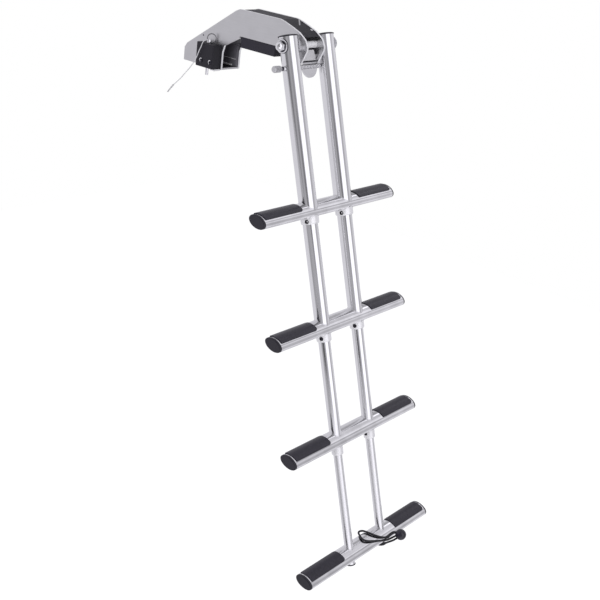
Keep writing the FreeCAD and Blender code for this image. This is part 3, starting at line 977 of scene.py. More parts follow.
@dataclass
class Bracket:
    """The hooked bracket: two cheeks, the arm between them, the hook leg and the pivot."""

    shop: Workshop
    half_wide: float = 28.5
    plate: float = 5.0
    arm_top: float = 41.8
    arm_under: float = -12.8
    foot_under: float = -94.0
    leg_front: float = 211.5
    leg_back: float = 329.0
    pad_depth: float = 23.2
    pad_front: float = 62.0
    pad_back: float = 161.0
    filling_back: float = 262.0
    liner_front: float = 214.0
    liner_top: float = -38.5
    liner_thick: float = 3.0
    block_thick: float = 25.0
    block_low: float = -92.0
    block_top: float = -41.0
    bore_at: Corner = (-41.0, 240.5)
    screw_at: Corner = (220.5, -78.0)
    screws_apart: float = 27.0
    rail_out: float = 74.95
    rail_in: float = 36.85
    fit_gap: float = 0.3
    bolt: float = 6.0
    washer: float = 14.0
    washer_thick: float = 2.0

    def cheek_outline(self) -> list[Corner]:
        """The cheek's outline, its corners eased as on the real plate.

        Returns:
            The outline in Y and Z.
        """
        corners = [
            (56.0, self.arm_top), (42.0, 38.5), (22.0, 32.2), (1.5, 24.7), (-16.5, 13.0),
            (-24.0, -0.5), (-24.0, -8.5), (-17.0, -23.5), (-11.6, -35.0), (-5.6, -38.5),
            (-5.6, -50.0), (0.0, -58.0), (8.0, -64.0), (22.0, -54.0), (48.0, self.arm_under),
            (163.5, self.arm_under), (163.5, self.arm_under - 4.0), (206.5, -40.5), (self.leg_front, -56.0),
            (self.leg_front, self.foot_under), (self.leg_back, self.foot_under), (self.leg_back, -66.0),
            (self.leg_back - 7.0, -56.0), (180.0, 37.0), (169.0, self.arm_top),
        ]
        gentle = rounded(corners, 14.0, (0, 1, 2, 3, 4, 7, 23, 24), 6)
        return rounded(gentle, 1.2, range(len(gentle)), 3)

    def build(self) -> None:
        """Build and dress every piece of the bracket."""
        self.cheeks()
        self.arm()
        self.leg()
        self.block()
        self.pivot()

    def cheeks(self) -> None:
        """The two steel cheeks, each with a bright strip of painted highlight round its edge."""
        outline = self.cheek_outline()
        outer, inner = self.half_wide, self.half_wide - self.plate
        for side in Side:
            low, high = sorted((outer * side.value, inner * side.value))
            shape = self.shop.soften(Shape.prism(outline, low, high), 0.7, 3, 40.0)
            # Painted highlight: a bright strip round the cut edge.
            rim = self.rim(outline, low + 0.5, high - 0.5)
            self.shop.piece(f"cheek_edge_highlight_{side.name.lower()}", rim, FROSTED_AND_HIGHLIGHT, BRACKET)
            name = f"cheek_{side.name.lower()}"
            node = f"side_plate_{side.name.lower()}"
            self.shop.piece(name, shape, SATIN, BRACKET, node)

    def rim(self, outline: Sequence[Corner], low: float, high: float) -> Shape:
        """A bright strip round a cheek's cut edge: a painted highlight.

        Args:
            outline: The cheek's outline.
            low: The strip's lower X.
            high: The strip's upper X.

        Returns:
            The strip, a tenth of a millimetre proud of the edge.
        """
        count = len(outline)
        area = sum(a[0] * b[1] - b[0] * a[1] for a, b in zip(outline, [*outline[1:], outline[0]]))
        turn = 1.0 if area > 0 else -1.0
        rows = []
        for i, (y, z) in enumerate(outline):
            back, ahead = outline[i - 1], outline[(i + 1) % count]
            run = Vector((ahead[0] - back[0], ahead[1] - back[1])).normalized()
            out = Vector((run.y, -run.x)) * turn
            edges = ((low, 0.1), (high, 0.1), (high, -0.4), (low, -0.4))
            rows.append([Vector((x, y + out.x * d, z + out.y * d)) for x, d in edges])
        return Shape.rings(rows, capped=False, wrapped=True)

    def arm(self) -> None:
        """The moulded arm between the cheeks, its pad, the web below the pivot and a dark strip of painted
        shadow under the web.
        """
        wide = self.half_wide - self.plate
        core = [
            (56.0, self.arm_top - 1.0), (42.0, 37.5), (22.0, 31.2), (1.5, 23.6), (-9.5, 16.6), (24.0, 12.8),
            (36.0, self.arm_under), (163.5, self.arm_under), (205.0, self.liner_top),
            (self.filling_back, self.liner_top), (self.filling_back, -17.8), (180.0, 35.6),
            (169.0, self.arm_top - 1.0),
        ]
        outline = rounded(core, 12.0, (0, 1, 2, 3, 11, 12), 6)
        shape = self.shop.soften(Shape.prism(outline, -wide, wide), 0.9, 3, 35.0)
        shape.join(self.shop.soften(Shape.box((-wide, -3.9, -20.0), (wide, 4.0, -7.4)), 0.6))
        self.shop.piece("arm_filling", shape, MOULDING, BRACKET, "arm_core")
        low = self.arm_under - self.pad_depth
        half = self.half_wide - 1.5
        pad = Shape.box((-half, self.pad_front, low), (half, self.pad_back, self.arm_under))
        pad = self.shop.soften(pad, 2.0, 4)
        groove, groove_deep = 1.2, 0.9
        grooves = [
            Shape.box((-half - 1.0, y, low - 1.0), (half + 1.0, y + groove, low + groove_deep))
            for y in range(70, 156, 9)
        ]
        pad = self.shop.carve(pad, grooves[0].join(*grooves[1:]))
        self.shop.piece("gunwale_cushion", pad, PAD, BRACKET, "gunwale_pad")
        taper = [(-wide, -33.0), (wide, -33.0), (wide, -31.0), (13.0, -9.5), (-13.0, -9.5), (-wide, -31.0)]
        rows = [[Vector((x, y, z)) for x, z in taper] for y in (-8.0, -4.0)]
        web = self.shop.soften(Shape.rings(rows), 0.5, 2)
        self.shop.piece("pivot_web", web, WEB_STEEL, BRACKET, "stop_tongue")
        # Painted shadow: a dark strip along the web's bottom edge, where the gap above the stop pin is in
        # shade.
        shadow_strip = self.shop.soften(Shape.box((-22.5, -9.2, -33.8), (22.5, -3.0, -30.6)), 0.8, 3)
        self.shop.piece("web_shadow_strip", shadow_strip, MOULDING, BRACKET)
        self.arm_marks()

    def arm_marks(self) -> None:
        """A slim satin steel strip in the arm's back and a small dome ahead of it."""
        start, end = Vector((25.0, 51.0, 40.4)), Vector((1.2, 27.9, 33.6))
        along = (end - start).normalized()
        faces = Vector((0.0, -0.31, 0.95))
        across = along.cross(faces).normalized()
        up = across.cross(along).normalized()
        if up.z < 0.0:
            up.negate()
        taper = along * 2.0
        stations = ((start, 0.6, 0.4), (start + taper, 1.6, 0.9), (end - taper, 1.6, 0.9), (end, 0.6, 0.4))
        rows = []
        for spot, wide, high in stations:
            left, right = spot - across * wide, spot + across * wide
            rows.append([left - up, right - up, right + up * high, left + up * high])
        mark_shape = self.shop.soften(Shape.rings(rows), 0.3, 2)
        profile = rounded([(0.0, -2.0), (2.9, -2.0), (2.9, 0.6), (1.6, 1.8), (0.0, 2.0)], 0.8, (2, 3), 4)
        dome = Shape.turned(profile, count=32)
        slope = math.atan2(7.0, 11.0) * 0.6
        lean = Matrix.Rotation(slope, 4, "X")
        mark_shape.join(dome.moved(Matrix.Translation(Vector((17.5, 8.5, 26.6))) @ lean))
        self.shop.piece("arm_strip_and_dome", mark_shape, SATIN, BRACKET)

    def leg(self) -> None:
        """The hook leg's filling, its ribbed liners and the foot; the liners and ribs are lightened as
        painted light.
        """
        wide = self.half_wide - self.plate
        foot_top = self.foot_under + 4.0
        outline = rounded([
            (self.filling_back, foot_top), (self.leg_back - 4.0, foot_top),
            (self.leg_back - 4.0, -67.5), (self.leg_back - 10.0, -56.5), (self.filling_back, -17.8),
        ], 3.0, (1, 2, 3), 4)
        filling = self.shop.soften(Shape.prism(outline, -wide, wide), 0.8, 3)
        self.shop.piece("leg_filling", filling, MOULDING, BRACKET, "leg_core")
        inward = wide - self.liner_thick
        panels, rails = Shape(), Shape()
        ribs = ((-74.0, 1.1, 0.7, 216.0, 261.0), (-87.6, 3.0, 1.6, 226.0, 258.0))
        for side in Side:
            low, high = sorted((wide * side.value, inward * side.value))
            panel = Shape.box((low, self.liner_front, -90.0), (high, self.filling_back, self.liner_top))
            panels.join(self.shop.soften(panel, 0.6))
            for z, high, deep, front, back in ribs:
                low, far = sorted((inward * side.value, (inward - deep) * side.value))
                rib = Shape.box((low, front, z - high / 2), (far, back, z + high / 2))
                rails.join(self.shop.soften(rib, 0.3, 2))
        # Painted light: the liners and their pale ribs are lighter than the plastic they stand for, against
        # the hook's shade.
        self.shop.piece("leg_liners", panels, LIGHTENED_LINER, BRACKET, "hook_liners")
        self.shop.piece("leg_rib_highlights", rails, LIGHTENED_PALE, BRACKET)
        mat = Shape.box((-inward, self.leg_front + 3.0, foot_top), (inward, 261.5, foot_top + 0.9))
        mat = self.shop.soften(mat, 0.3, 2)
        self.shop.piece("foot_mat", mat, MOULDING, BRACKET)
        front, back = self.leg_front + 1.0, self.leg_front + 61.0
        foot = self.shop.soften(Shape.box((-wide, front, self.foot_under), (wide, back, foot_top)), 0.6)
        self.shop.piece("foot_plate", foot, SATIN, BRACKET, "foot_web")

    def block(self) -> None:
        """The pin block on the left cheek, with its bore and its two screws, and a bright crescent of painted
        highlight at each screw.
        """
        outer = -self.half_wide - self.block_thick
        y, z = self.screw_at
        body = Shape.box((outer, 214.0, self.block_low), (-self.half_wide, 265.0, self.block_top))
        body = self.shop.soften(body, 1.6, 4)
        over = (*self.bore_at, 0.0)
        bore = Shape.turned(drum(4.5, self.block_low - 2.0, self.block_top + 2.0, 0.1), Along.Z, over, 48)
        rim = Shape.turned(drum(5.6, self.block_top - 0.8, self.block_top + 1.0, 0.1), Along.Z, over, 48)
        pocket = drum(5.0, outer - 1.0, outer + 0.5, 0.1)
        pockets = [Shape.turned(pocket, Along.X, (0.0, y + far, z), 40) for far in (0.0, self.screws_apart)]
        body = self.shop.carve(body, bore, rim, *pockets)
        self.shop.piece("pin_housing", body, MOULDING, BRACKET, "pin_block")
        head = rounded([(0.0, 0.6), (4.2, 0.6), (3.6, -1.2), (2.4, -1.6), (0.0, -1.6)], 0.5, (1, 2, 3), 3)
        socket = Shape.prism(circle(2.0, 6), -2.0, -0.5)
        screw = self.shop.carve(Shape.turned(head, Along.X, count=40), socket)
        stride = (0.0, self.screws_apart, 0.0)
        pair = self.shop.row(screw, DARK_STEEL, 2, (outer, y, z), stride)
        self.shop.piece("housing_screws", pair, DARK_STEEL, BRACKET, "block_screws")
        # Painted highlight: a bright disc under each screw head, set off-centre so a crescent shows.
        screw_glint = rounded([(0.0, 0.5), (4.3, 0.5), (4.3, -0.5), (0.0, -0.5)], 0.3, (1, 2), 3)
        screw_glint = Shape.turned(screw_glint, Along.X, count=40)
        screw_glints = self.shop.row(screw_glint, FROSTED_AND_HIGHLIGHT, 2, (outer, y + 1.2, z + 0.4), stride)
        shelf = Shape.box((-49.0, 213.0, self.block_low - 3.6), (-self.half_wide, 223.0, self.block_low))
        shelf = self.shop.soften(shelf, 0.7, 3)
        self.shop.piece("housing_shelf_and_screw_glints", shelf.join(screw_glints), FROSTED_AND_HIGHLIGHT, BRACKET)
        mark = drum(1.5, -self.half_wide - 0.5, -self.half_wide + 1.0, 0.2)
        mark = Shape.turned(mark, Along.X, (0.0, 272.3, -30.5), 24)
        self.shop.piece("cheek_set_screw", mark, DARK_STEEL, BRACKET)

    def pivot(self) -> None:
        """The pivot bolt with its nut, washers, spacers and sleeve, and two dark rings of painted shadow
        beside the left washer.
        """
        outer = self.rail_out + self.fit_gap + self.washer_thick
        shank = drum(self.bolt, -outer - 5.5, outer + 1.0, 0.4)
        bolt = Shape.turned(shank, Along.X)
        dome = [(0.0, outer), (10.0, outer), (10.0, outer + 3.0), (6.5, outer + 7.0), (0.0, outer + 8.0)]
        head = rounded(dome, 3.0, (2, 3), 6)
        key = Shape.prism(circle(3.0, 6), outer + 4.0, outer + 9.0)
        bolt.join(self.shop.carve(Shape.turned(head, Along.X), key))
        self.shop.piece("hinge_bolt", bolt, POLISHED, BRACKET, "pivot_bolt")
        nut, thick, acorn = 10.5, 6.0, 8.6
        hexagon = [(y, z) for z, y in circle(nut, 6)]
        flats = self.shop.soften(Shape.prism(hexagon, -outer - thick, -outer), 0.7, 3)
        arc = [(acorn * sin, -outer - thick - acorn * cos) for sin, cos in quarter(14)]
        dome = Shape.turned(arc + [(acorn, -outer - thick + 0.5), (0.0, -outer - thick + 0.5)], Along.X)
        self.shop.piece("dome_nut", flats.join(dome), POLISHED, BRACKET, "pivot_nut")
        # Painted shadow: dark rings between the nut and its washer and between the washer and the rail.
        shadow_rings = Shape.turned(collar(11.4, self.bolt, -outer - 0.5, -outer, 0.2), Along.X)
        shadow_rings.join(Shape.turned(collar(14.7, self.bolt, -self.rail_out - 0.3, -self.rail_out, 0.1), Along.X))
        self.shop.piece("hinge_shadow_rings", shadow_rings, DARK_STEEL, BRACKET)
        disc = Shape.turned(collar(self.washer, self.bolt, 0.0, self.washer_thick), Along.X)
        first, stride = (-outer, 0.0, 0.0), (outer * 2 - self.washer_thick, 0.0, 0.0)
        washers = self.shop.row(disc, TURNED, 2, first, stride)
        self.shop.piece("hinge_washers", washers, TURNED, BRACKET, "pivot_washers")
        long = self.rail_in - self.half_wide - self.fit_gap
        disc = Shape.turned(collar(self.washer, self.bolt, 0.0, long, 0.8), Along.X)
        first, stride = (-self.half_wide - long, 0.0, 0.0), (self.half_wide * 2 + long, 0.0, 0.0)
        spacers = self.shop.row(disc, TURNED, 2, first, stride)
        self.shop.piece("hinge_spacers", spacers, TURNED, BRACKET, "pivot_spacers")
        wide = self.half_wide - self.plate
        sleeve = Shape.turned(collar(7.2, self.bolt, -wide, wide, 0.5), Along.X)
        # Painted light: the sleeve's pale finish lightens it against the shade under the arm.
        self.shop.piece("hinge_sleeve", sleeve, LIGHTENED_PALE, BRACKET, "pivot_sleeve")


def headings(points: Sequence[Vector]) -> list[Vector]:
    """The direction of a path at each of its points."""
    last = len(points) - 1
    return [(points[min(i + 1, last)] - points[max(i - 1, 0)]).normalized() for i in range(last + 1)]


@dataclass
class Strand:
    """A free cord: its route, its size and what it ends in."""

    name: str
    node: str
    mount: Mount
    finish: Finish
    radius: float
    length: float
    far_end: str
    stiffness: str
    lay: str
    route: Sequence[Point]

    def line(self) -> list[Vector]:
        """Points of the route's smooth spline, in the object's frame.

        Returns:
            The points in metres.
        """
        curve = bpy.data.curves.new("route", "CURVE")
        curve.dimensions = "3D"
        curve.resolution_u = 12
        spline = curve.splines.new("NURBS")
        spline.points.add(len(self.route) - 1)
        for point, place in zip(spline.points, self.route):
            point.co = (*self.mount.holder.point(place), 1.0)
        spline.order_u = 3
        spline.use_endpoint_u = True
        item = bpy.data.objects.new("route", curve)
        bpy.context.scene.collection.objects.link(item)
        bpy.context.view_layer.update()
        graph = bpy.context.evaluated_depsgraph_get()
        mesh = bpy.data.meshes.new_from_object(item.evaluated_get(graph))
        points = [vertex.co.copy() for vertex in mesh.vertices]
        bpy.data.objects.remove(item, do_unlink=True)
        bpy.data.meshes.remove(mesh)
        return points

    def tube(self, points: Sequence[Vector], around: int = 20) -> bpy.types.Mesh:
        """A mesh tube along points, mapped along and round.

        Args:
            points: The centreline in metres.
            around: Points round the tube.

        Returns:
            The mesh, its map's U in metres along and V once round.
        """
        mesh = bmesh.new()
        layer = mesh.loops.layers.uv.new("cord")
        tangents = headings(points)
        normal = tangents[0].orthogonal().normalized()
        ring = circle(self.radius * MM, around)
        rows, travel, gone = [], [0.0], 0.0
        for i, (point, tangent) in enumerate(zip(points, tangents)):
            if i:
                gone += (point - points[i - 1]).length
                travel.append(gone)
            normal = (normal - tangent * normal.dot(tangent)).normalized()
            other = tangent.cross(normal)
            rows.append([mesh.verts.new(point + normal * a + other * b) for a, b in ring])
        for i in range(len(rows) - 1):
            for k in range(around):
                j = (k + 1) % around
                face = mesh.faces.new((rows[i][k], rows[i][j], rows[i + 1][j], rows[i + 1][k]))
                face.smooth = True
                spots = ((i, k), (i, k + 1), (i + 1, k + 1), (i + 1, k))
                for loop, (a, b) in zip(face.loops, spots):
                    loop[layer].uv = (travel[a], b / around)
        for row in (rows[0], rows[-1]):
            mesh.faces.new(row)
        bmesh.ops.recalc_face_normals(mesh, faces=mesh.faces)
        data = bpy.data.meshes.new(self.name)
        mesh.to_mesh(data)
        mesh.free()
        return data

    def build(self, with_pieces: Sequence[bpy.types.Object]) -> bpy.types.Object:
        """Args:
            with_pieces: The pieces on the cord; not used.

        Returns:
            The cord's piece.
        """
        points = self.line()
        data = self.tube(points)
        data.materials.append(self.finish.material())
        item = bpy.data.objects.new(self.name, data)
        bpy.context.scene.collection.objects.link(item)
        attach(item, self.mount.body)
        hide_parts(self.node)
        return item


@dataclass
class LockingPin:
    """The locking pin in its block, its pull ring and its lanyard."""

    shop: Workshop
    x: float = -41.0
    y: float = 240.5
    block_top: float = -41.0
    block_low: float = -92.0
    tip: float = -109.0
    lanyard: Strand = field(default_factory=lambda: Strand(
        "lanyard_wire", "lanyard", PIN, WIRE, 1.0, 0.132, "fitting", "stiff", "hanging",
        (
            (-42.9, 242.7, -35.0), (-49.5, 243.8, -34.6), (-56.2, 244.6, -39.4), (-57.6, 246.4, -49.0),
            (-58.2, 251.2, -58.2), (-58.6, 258.0, -75.4), (-60.5, 263.6, -86.0), (-64.0, 268.7, -97.0),
            (-70.0, 276.8, -110.2), (-78.5, 285.2, -127.0), (-87.0, 293.9, -138.9),
        ),
    ))

    def build(self) -> None:
        """Build and dress the pin, its ring and its lanyard."""
        low, top = self.block_low, self.block_top + 0.3
        crown = top + 8.0
        profile = rounded([
            (0.0, self.tip), (3.5, self.tip), (3.5, low), (4.2, low), (4.2, top), (4.8, top), (4.8, crown),
            (0.0, crown),
        ], 1.2, (1, 6), 4)
        pin = Shape.turned(profile, Along.Z, (self.x, self.y, 0.0), 64)
        across, lean = Vector((0.747, 0.665, 0.0)), math.radians(123.4)
        drill = Shape.turned(drum(2.3, 0.0, 14.0, 0.1), count=32)
        start = Vector((self.x - 3.68, self.y + 4.05, self.block_top + 7.3))
        drill.moved(Matrix.Translation(start) @ Matrix.Rotation(lean, 4, across))
        pin = self.shop.carve(pin, drill)
        self.shop.piece("locking_pin_rod", pin, POLISHED, PIN, "lock_pin")
        self.ring()
        crimp = self.crimp()
        self.lanyard.build([crimp])

    def ring(self) -> None:
        """The pull ring, a split ring of one and a bit turns."""
        wire, radius, out_of_eye = 1.1, 9.4, 5.2
        side, up = Vector((0.665, -0.747, 0.0)), Vector((0.0, 0.0, 1.0))
        middle = Vector((self.x, self.y, self.block_top + radius + wire + 0.2)) + side * out_of_eye
        flat = side.cross(up)
        rows = []
        for across, high in circle(1.0, 96):
            out = side * across + up * high
            row = []
            for cos, sin in circle(1.0, 16):
                thin = wire * (0.86 + 0.14 * abs(cos))
                row.append(middle + out * (radius + thin * cos) + flat * (thin * sin))
            rows.append(row)
        shape = Shape.rings(rows, capped=False, wrapped=True)
        self.shop.piece("pull_ring", shape, RING_STEEL, PIN, "pin_ring", smooth=60.0)

    def crimp(self) -> bpy.types.Object:
        """The crimped sleeve and the small loop at the lanyard's end.

        Returns:
            The piece that goes with the lanyard.
        """
        start = Vector(self.lanyard.route[-1])
        down = Vector((-4.6, 3.2, -8.0)).normalized()
        turn = Vector((0.0, 0.0, 1.0)).rotation_difference(down).to_matrix().to_4x4()
        barrel = rounded([
            (0.0, 0.0), (1.5, 0.0), (1.9, 1.0), (1.9, 3.0), (1.5, 3.6), (1.5, 5.4), (1.9, 6.0), (1.9, 7.6),
            (1.5, 8.6), (0.0, 8.6),
        ], 0.4, range(1, 9), 3)
        shape = Shape.turned(barrel, count=32).moved(Matrix.Translation(start) @ turn)
        bend = 0.9
        across = down.cross(Vector((1.0, 0.0, 0.0))).normalized() * bend
        near, far, steps = 8.0, 19.0, 6
        tip = start + down * far
        spots = [start + down * (near + (far - near) * k / steps) + across for k in range(steps + 1)]
        spots += [tip + across * cos + down * bend * sin for cos, sin in circle(1.0, 16)[1:8]]
        spots += [start + down * (far - (far - near) * k / steps) - across for k in range(steps + 1)]
        third = down.cross(across).normalized()
        rows = []
        for spot, ahead in zip(spots, headings(spots)):
            side = ahead.cross(third).normalized()
            rows.append([spot + side * a + third * b for a, b in circle(0.75, 12)])
        shape.join(Shape.rings(rows))
        return self.shop.piece("lanyard_end", shape, CRIMP, PIN, "lanyard_crimp")


@dataclass
class Section:
    """One telescoping section: its pair of tubes, its step and what they carry."""

    shop: Workshop
    index: int
    drops: Sequence[float] = (327.0, 574.0, 821.5, 1086.5)
    widths: Sequence[float] = (38.1, 31.75, 25.4, 19.05)
    below: Sequence[float] = (29.0, 31.0, 35.0, 25.0)
    wall: float = 1.25
    apart: float = 111.8
    rail_top: float = 18.0
    inside: float = 8.0
    button_below: float = 23.0
    hole: float = 4.4
    button: float = 3.3
    button_turn: float = 21.0
    bush: float = 22.0
    mouth_high: float = 29.0
    bush_hole: float = 3.6
    crown: float = 1.9
    fit_gap: float = 0.3
    pivot_hole: float = 6.08
    stop_hole: float = 5.0
    stop_at: Corner = (2.5, -43.0)
    step_long: float = 420.0
    deep: float = 22.0
    thick: float = 13.25
    step_wall: float = 2.0
    tilt: float = 27.5
    cap: float = 5.0
    tread_near: float = 91.0
    tread_far: float = 201.0
    tread_high: float = 1.8
    tread_front: float = 15.0
    tread_back: float = 19.5
    bead: float = 0.8
    ripple: float = 0.7

    @property
    def number(self) -> int:
        """The section's number, counted from the pivot."""
        return self.index + 1

    @property
    def mount(self) -> Mount:
        """Where the section's pieces belong."""
        return SECTIONS[self.index]

    @property
    def radius(self) -> float:
        """The section's tube radius."""
        return self.widths[self.index] / 2

    @property
    def drop(self) -> float:
        """The step's drop below the pivot."""
        return self.drops[self.index]

    @property
    def mouth(self) -> float:
        """The height of the tubes' lower ends."""
        return -(self.drop + self.below[self.index])

    @property
    def top(self) -> float:
        """The height of the tubes' upper ends."""
        return self.rail_top if self.index == 0 else -(self.drops[self.index - 1] - self.inside)

    def inward(self) -> Matrix:
        """Turn Z to where the upper snap buttons point, in through the tube's left side."""
        turn = math.radians(self.button_turn)
        return Matrix.Rotation(math.radians(90.0), 4, Vector((-math.sin(turn), math.cos(turn), 0.0)))

    def drill(self, index: int, x: float, wide: float, radius: float, long: float) -> Shape:
        """A round tool where the snap button under one step locks.

        Args:
            index: The step above the button.
            x: The tube's place.
            wide: The tube's radius.
            radius: The hole's radius.
            long: The tool's length.

        Returns:
            The tool.
        """
        z = -(self.drops[index] + self.button_below)
        if index < 2:
            tool = Shape.turned(drum(radius, -wide - 1.0, long - wide - 1.0, 0.1), count=48)
            return tool.moved(Matrix.Translation(Vector((x, 0.0, z))) @ self.inward())
        start = x + wide + 1.0 - long if x < 0 else x - wide - 1.0
        return Shape.turned(drum(radius, 0.0, long, 0.1), Along.X, (start, 0.0, z), 48)

    def cuts(self, low: float, high: float) -> list[float]:
        """Heights of the extra rings that frame the drilled holes and the tube's middle.

        Args:
            low: The tube's lower end.
            high: Its upper end.

        Returns:
            The heights in order.
        """
        spots = []
        if self.index < 3:
            spots.append(low + self.mouth_high / 2)
        if self.index > 0:
            spots.append(-(self.drops[self.index - 1] + self.button_below))
        if self.index == 0:
            spots += [0.0, self.stop_at[1]]
        framed = {round(z + d, 3) for z in spots for d in (-7.0, 7.0)}
        return sorted(framed | {low + 40.0, (low + high) / 2})

    def tube_profile(self, low: float, high: float, cuts: Sequence[float]) -> list[Corner]:
        """The profile of one tube, its outer rims eased.

        Args:
            low: The lower end.
            high: The upper end.
            cuts: Heights of the extra rings.

        Returns:
            Radius and height pairs.
        """
        outer, inner, soft = self.radius, self.radius - self.wall, 0.35
        slight = soft * 0.3
        between = [z for z in cuts if low + 1.0 < z < high - 1.0]
        profile = [(outer - soft, low), (outer - slight, low + slight), (outer, low + soft)]
        profile += [(outer, z) for z in between]
        profile += [(outer, high - soft), (outer - slight, high - slight), (outer - soft, high)]
        return profile + [(inner, high)] + [(inner, z) for z in reversed(between)] + [(inner, low)]

    def mouth_profile(self, low: float, high: float, cuts: Sequence[float]) -> list[Corner]:
        """The profile of a tube's frosted mouth, its lower lip eased.

        Args:
            low: The lower end.
            high: Where the mouth meets the bare tube.
            cuts: Heights of the extra rings.

        Returns:
            Radius and height pairs.
        """
        outer, inner = self.radius, self.radius - self.wall
        between = [z for z in cuts if low + 2.0 < z < high]
        profile = [(inner, low), (inner + 0.2, low)]
        profile += [(outer - back, low + up) for back, up in ((0.7, 0.4), (0.2, 1.0), (0.0, 1.9))]
        profile += [(outer, z) for z in between] + [(outer, high), (inner, high)]
        return profile + [(inner, z) for z in reversed(between)]

    def rails(self) -> None:
        """The pair of tubes, drilled for buttons, pivot and stop pin."""
        low, high = self.mouth, self.top
        split = low + self.mouth_high
        body_low = split if self.index < 3 else low
        outer = self.radius
        cuts = self.cuts(low, high)
        pair, mouths = Shape(), Shape()
        for side in Side:
            x = side.value * self.apart / 2
            if self.index < 3:
                mouth = Shape.turned(self.mouth_profile(low, split, cuts), Along.Z, (x, 0.0, 0.0), 128)
                mouths.join(self.shop.carve(mouth, self.drill(self.index, x, outer, self.hole, outer + 1.0)))
            tube = Shape.turned(self.tube_profile(body_low, high, cuts), Along.Z, (x, 0.0, 0.0), 128)
            tools = []
            if self.index > 0:
                tools.append(self.drill(self.index - 1, x, outer, self.button, outer + 1.0))
            if self.index == 0:
                for hole, (y, z) in ((self.pivot_hole, (0.0, 0.0)), (self.stop_hole, self.stop_at)):
                    tools.append(Shape.turned(drum(hole, -22.0, 22.0, 0.1), Along.X, (x, y, z), 48))
            pair.join(self.shop.carve(tube, *tools))
        name = f"rail_tubes_{self.number}"
        finish = POLISHED if self.index < 3 else BRUSHED
        self.shop.piece(name, pair, finish, self.mount, f"rails_{self.number}")
        if self.index < 3:
            self.shop.piece(f"tube_mouths_{self.number}", mouths, FROSTED_AND_HIGHLIGHT, self.mount)

    def tilted(self) -> Matrix:
        """From a level step about its axis to its place on the ladder."""
        turn = Matrix.Rotation(math.radians(self.tilt), 4, "X")
        return Matrix.Translation(Vector((0.0, 0.0, -self.drop))) @ turn

    def oval(self, x: float, grow: float, count: int = 96) -> list[Vector]:
        """One row of the step's section, grown or shrunk all round."""
        return [Vector((x, y, z)) for y, z in circle(self.deep + grow, count, self.thick + grow)]

    def step(self) -> None:
        """The oval step tube, let over the rails and welded to them."""
        half = self.step_long / 2 - self.cap
        stations = [-half, -half + 12.0, -120.0, -85.0, -30.0, 30.0, 85.0, 120.0, half - 12.0, half]
        rows = [self.oval(x, 0.0) for x in stations]
        rows += [self.oval(x, -self.step_wall) for x in reversed(stations)]
        shape = Shape.rings(rows, capped=False, wrapped=True).moved(self.tilted())
        reach = 40.0
        bore = drum(self.radius, -self.drop - reach, -self.drop + reach, 0.1)
        tools = [Shape.turned(bore, Along.Z, (side.value * self.apart / 2, 0.0, 0.0), 128) for side in Side]
        shape = self.shop.carve(shape, *tools)
        name = f"step_tube_{self.number}"
        self.shop.piece(name, shape, STEP_STEEL, self.mount, f"step_{self.number}")

    def seam(self, x: float, upper: bool) -> Shape:
        """The closed line where a rail leaves the step, above or below.

        Args:
            x: The rail's place.
            upper: Above the step or below it.

        Returns:
            The line, as edges alone.
        """
        mesh = bmesh.new()
        turn = math.radians(self.tilt)
        sin, cos = math.sin(turn), math.cos(turn)
        a, b = self.deep**2, self.thick**2
        two = sin * sin / a + cos * cos / b
        verts = []
        for across, y in circle(self.radius, 72):
            one = 2 * y * sin * cos * (1 / a - 1 / b)
            zero = y * y * (cos * cos / a + sin * sin / b) - 1.0
            root = math.sqrt(max(one * one - 4 * two * zero, 0.0))
            z = (-one + (root if upper else -root)) / (2 * two)
            verts.append(mesh.verts.new((x + across, y, z - self.drop)))
        for first, second in zip(verts, verts[1:] + verts[:1]):
            mesh.edges.new((first, second))
        return Shape(mesh)

    def welds(self) -> None:
        """Weld beads round both tubes, above and below the step."""
        beads = Shape()
        tree = self.shop.tree("bead", bead_tree)
        for side in Side:
            for upper in (True, False):
                line = self.seam(side.value * self.apart / 2, upper)
                seed = self.index + 0.3 * side.value + (0.5 if upper else 0.0)
                size = {"Radius": self.bead, "Ripple": self.ripple}
                beads.join(self.shop.grown(line, tree, POLISHED, Seed=seed, **size))
        self.shop.piece(f"step_welds_{self.number}", beads, TURNED, self.mount, smooth=60.0)

    def caps(self) -> None:
        """The moulded caps in the step's ends."""
        half = self.step_long / 2
        profile = ((self.cap, 0.0), (2.2, 0.0), (1.0, -0.35), (0.3, -1.1), (0.0, -2.4), (0.4, -4.4))
        cap = Shape.rings([self.oval(half - back, grow) for back, grow in profile]).moved(self.tilted())
        pair = Shape().join(cap, cap.mirrored())
        name, node = f"step_caps_{self.number}", f"end_caps_{self.number}"
        self.shop.piece(name, pair, BLACK, self.mount, node, smooth=50.0)

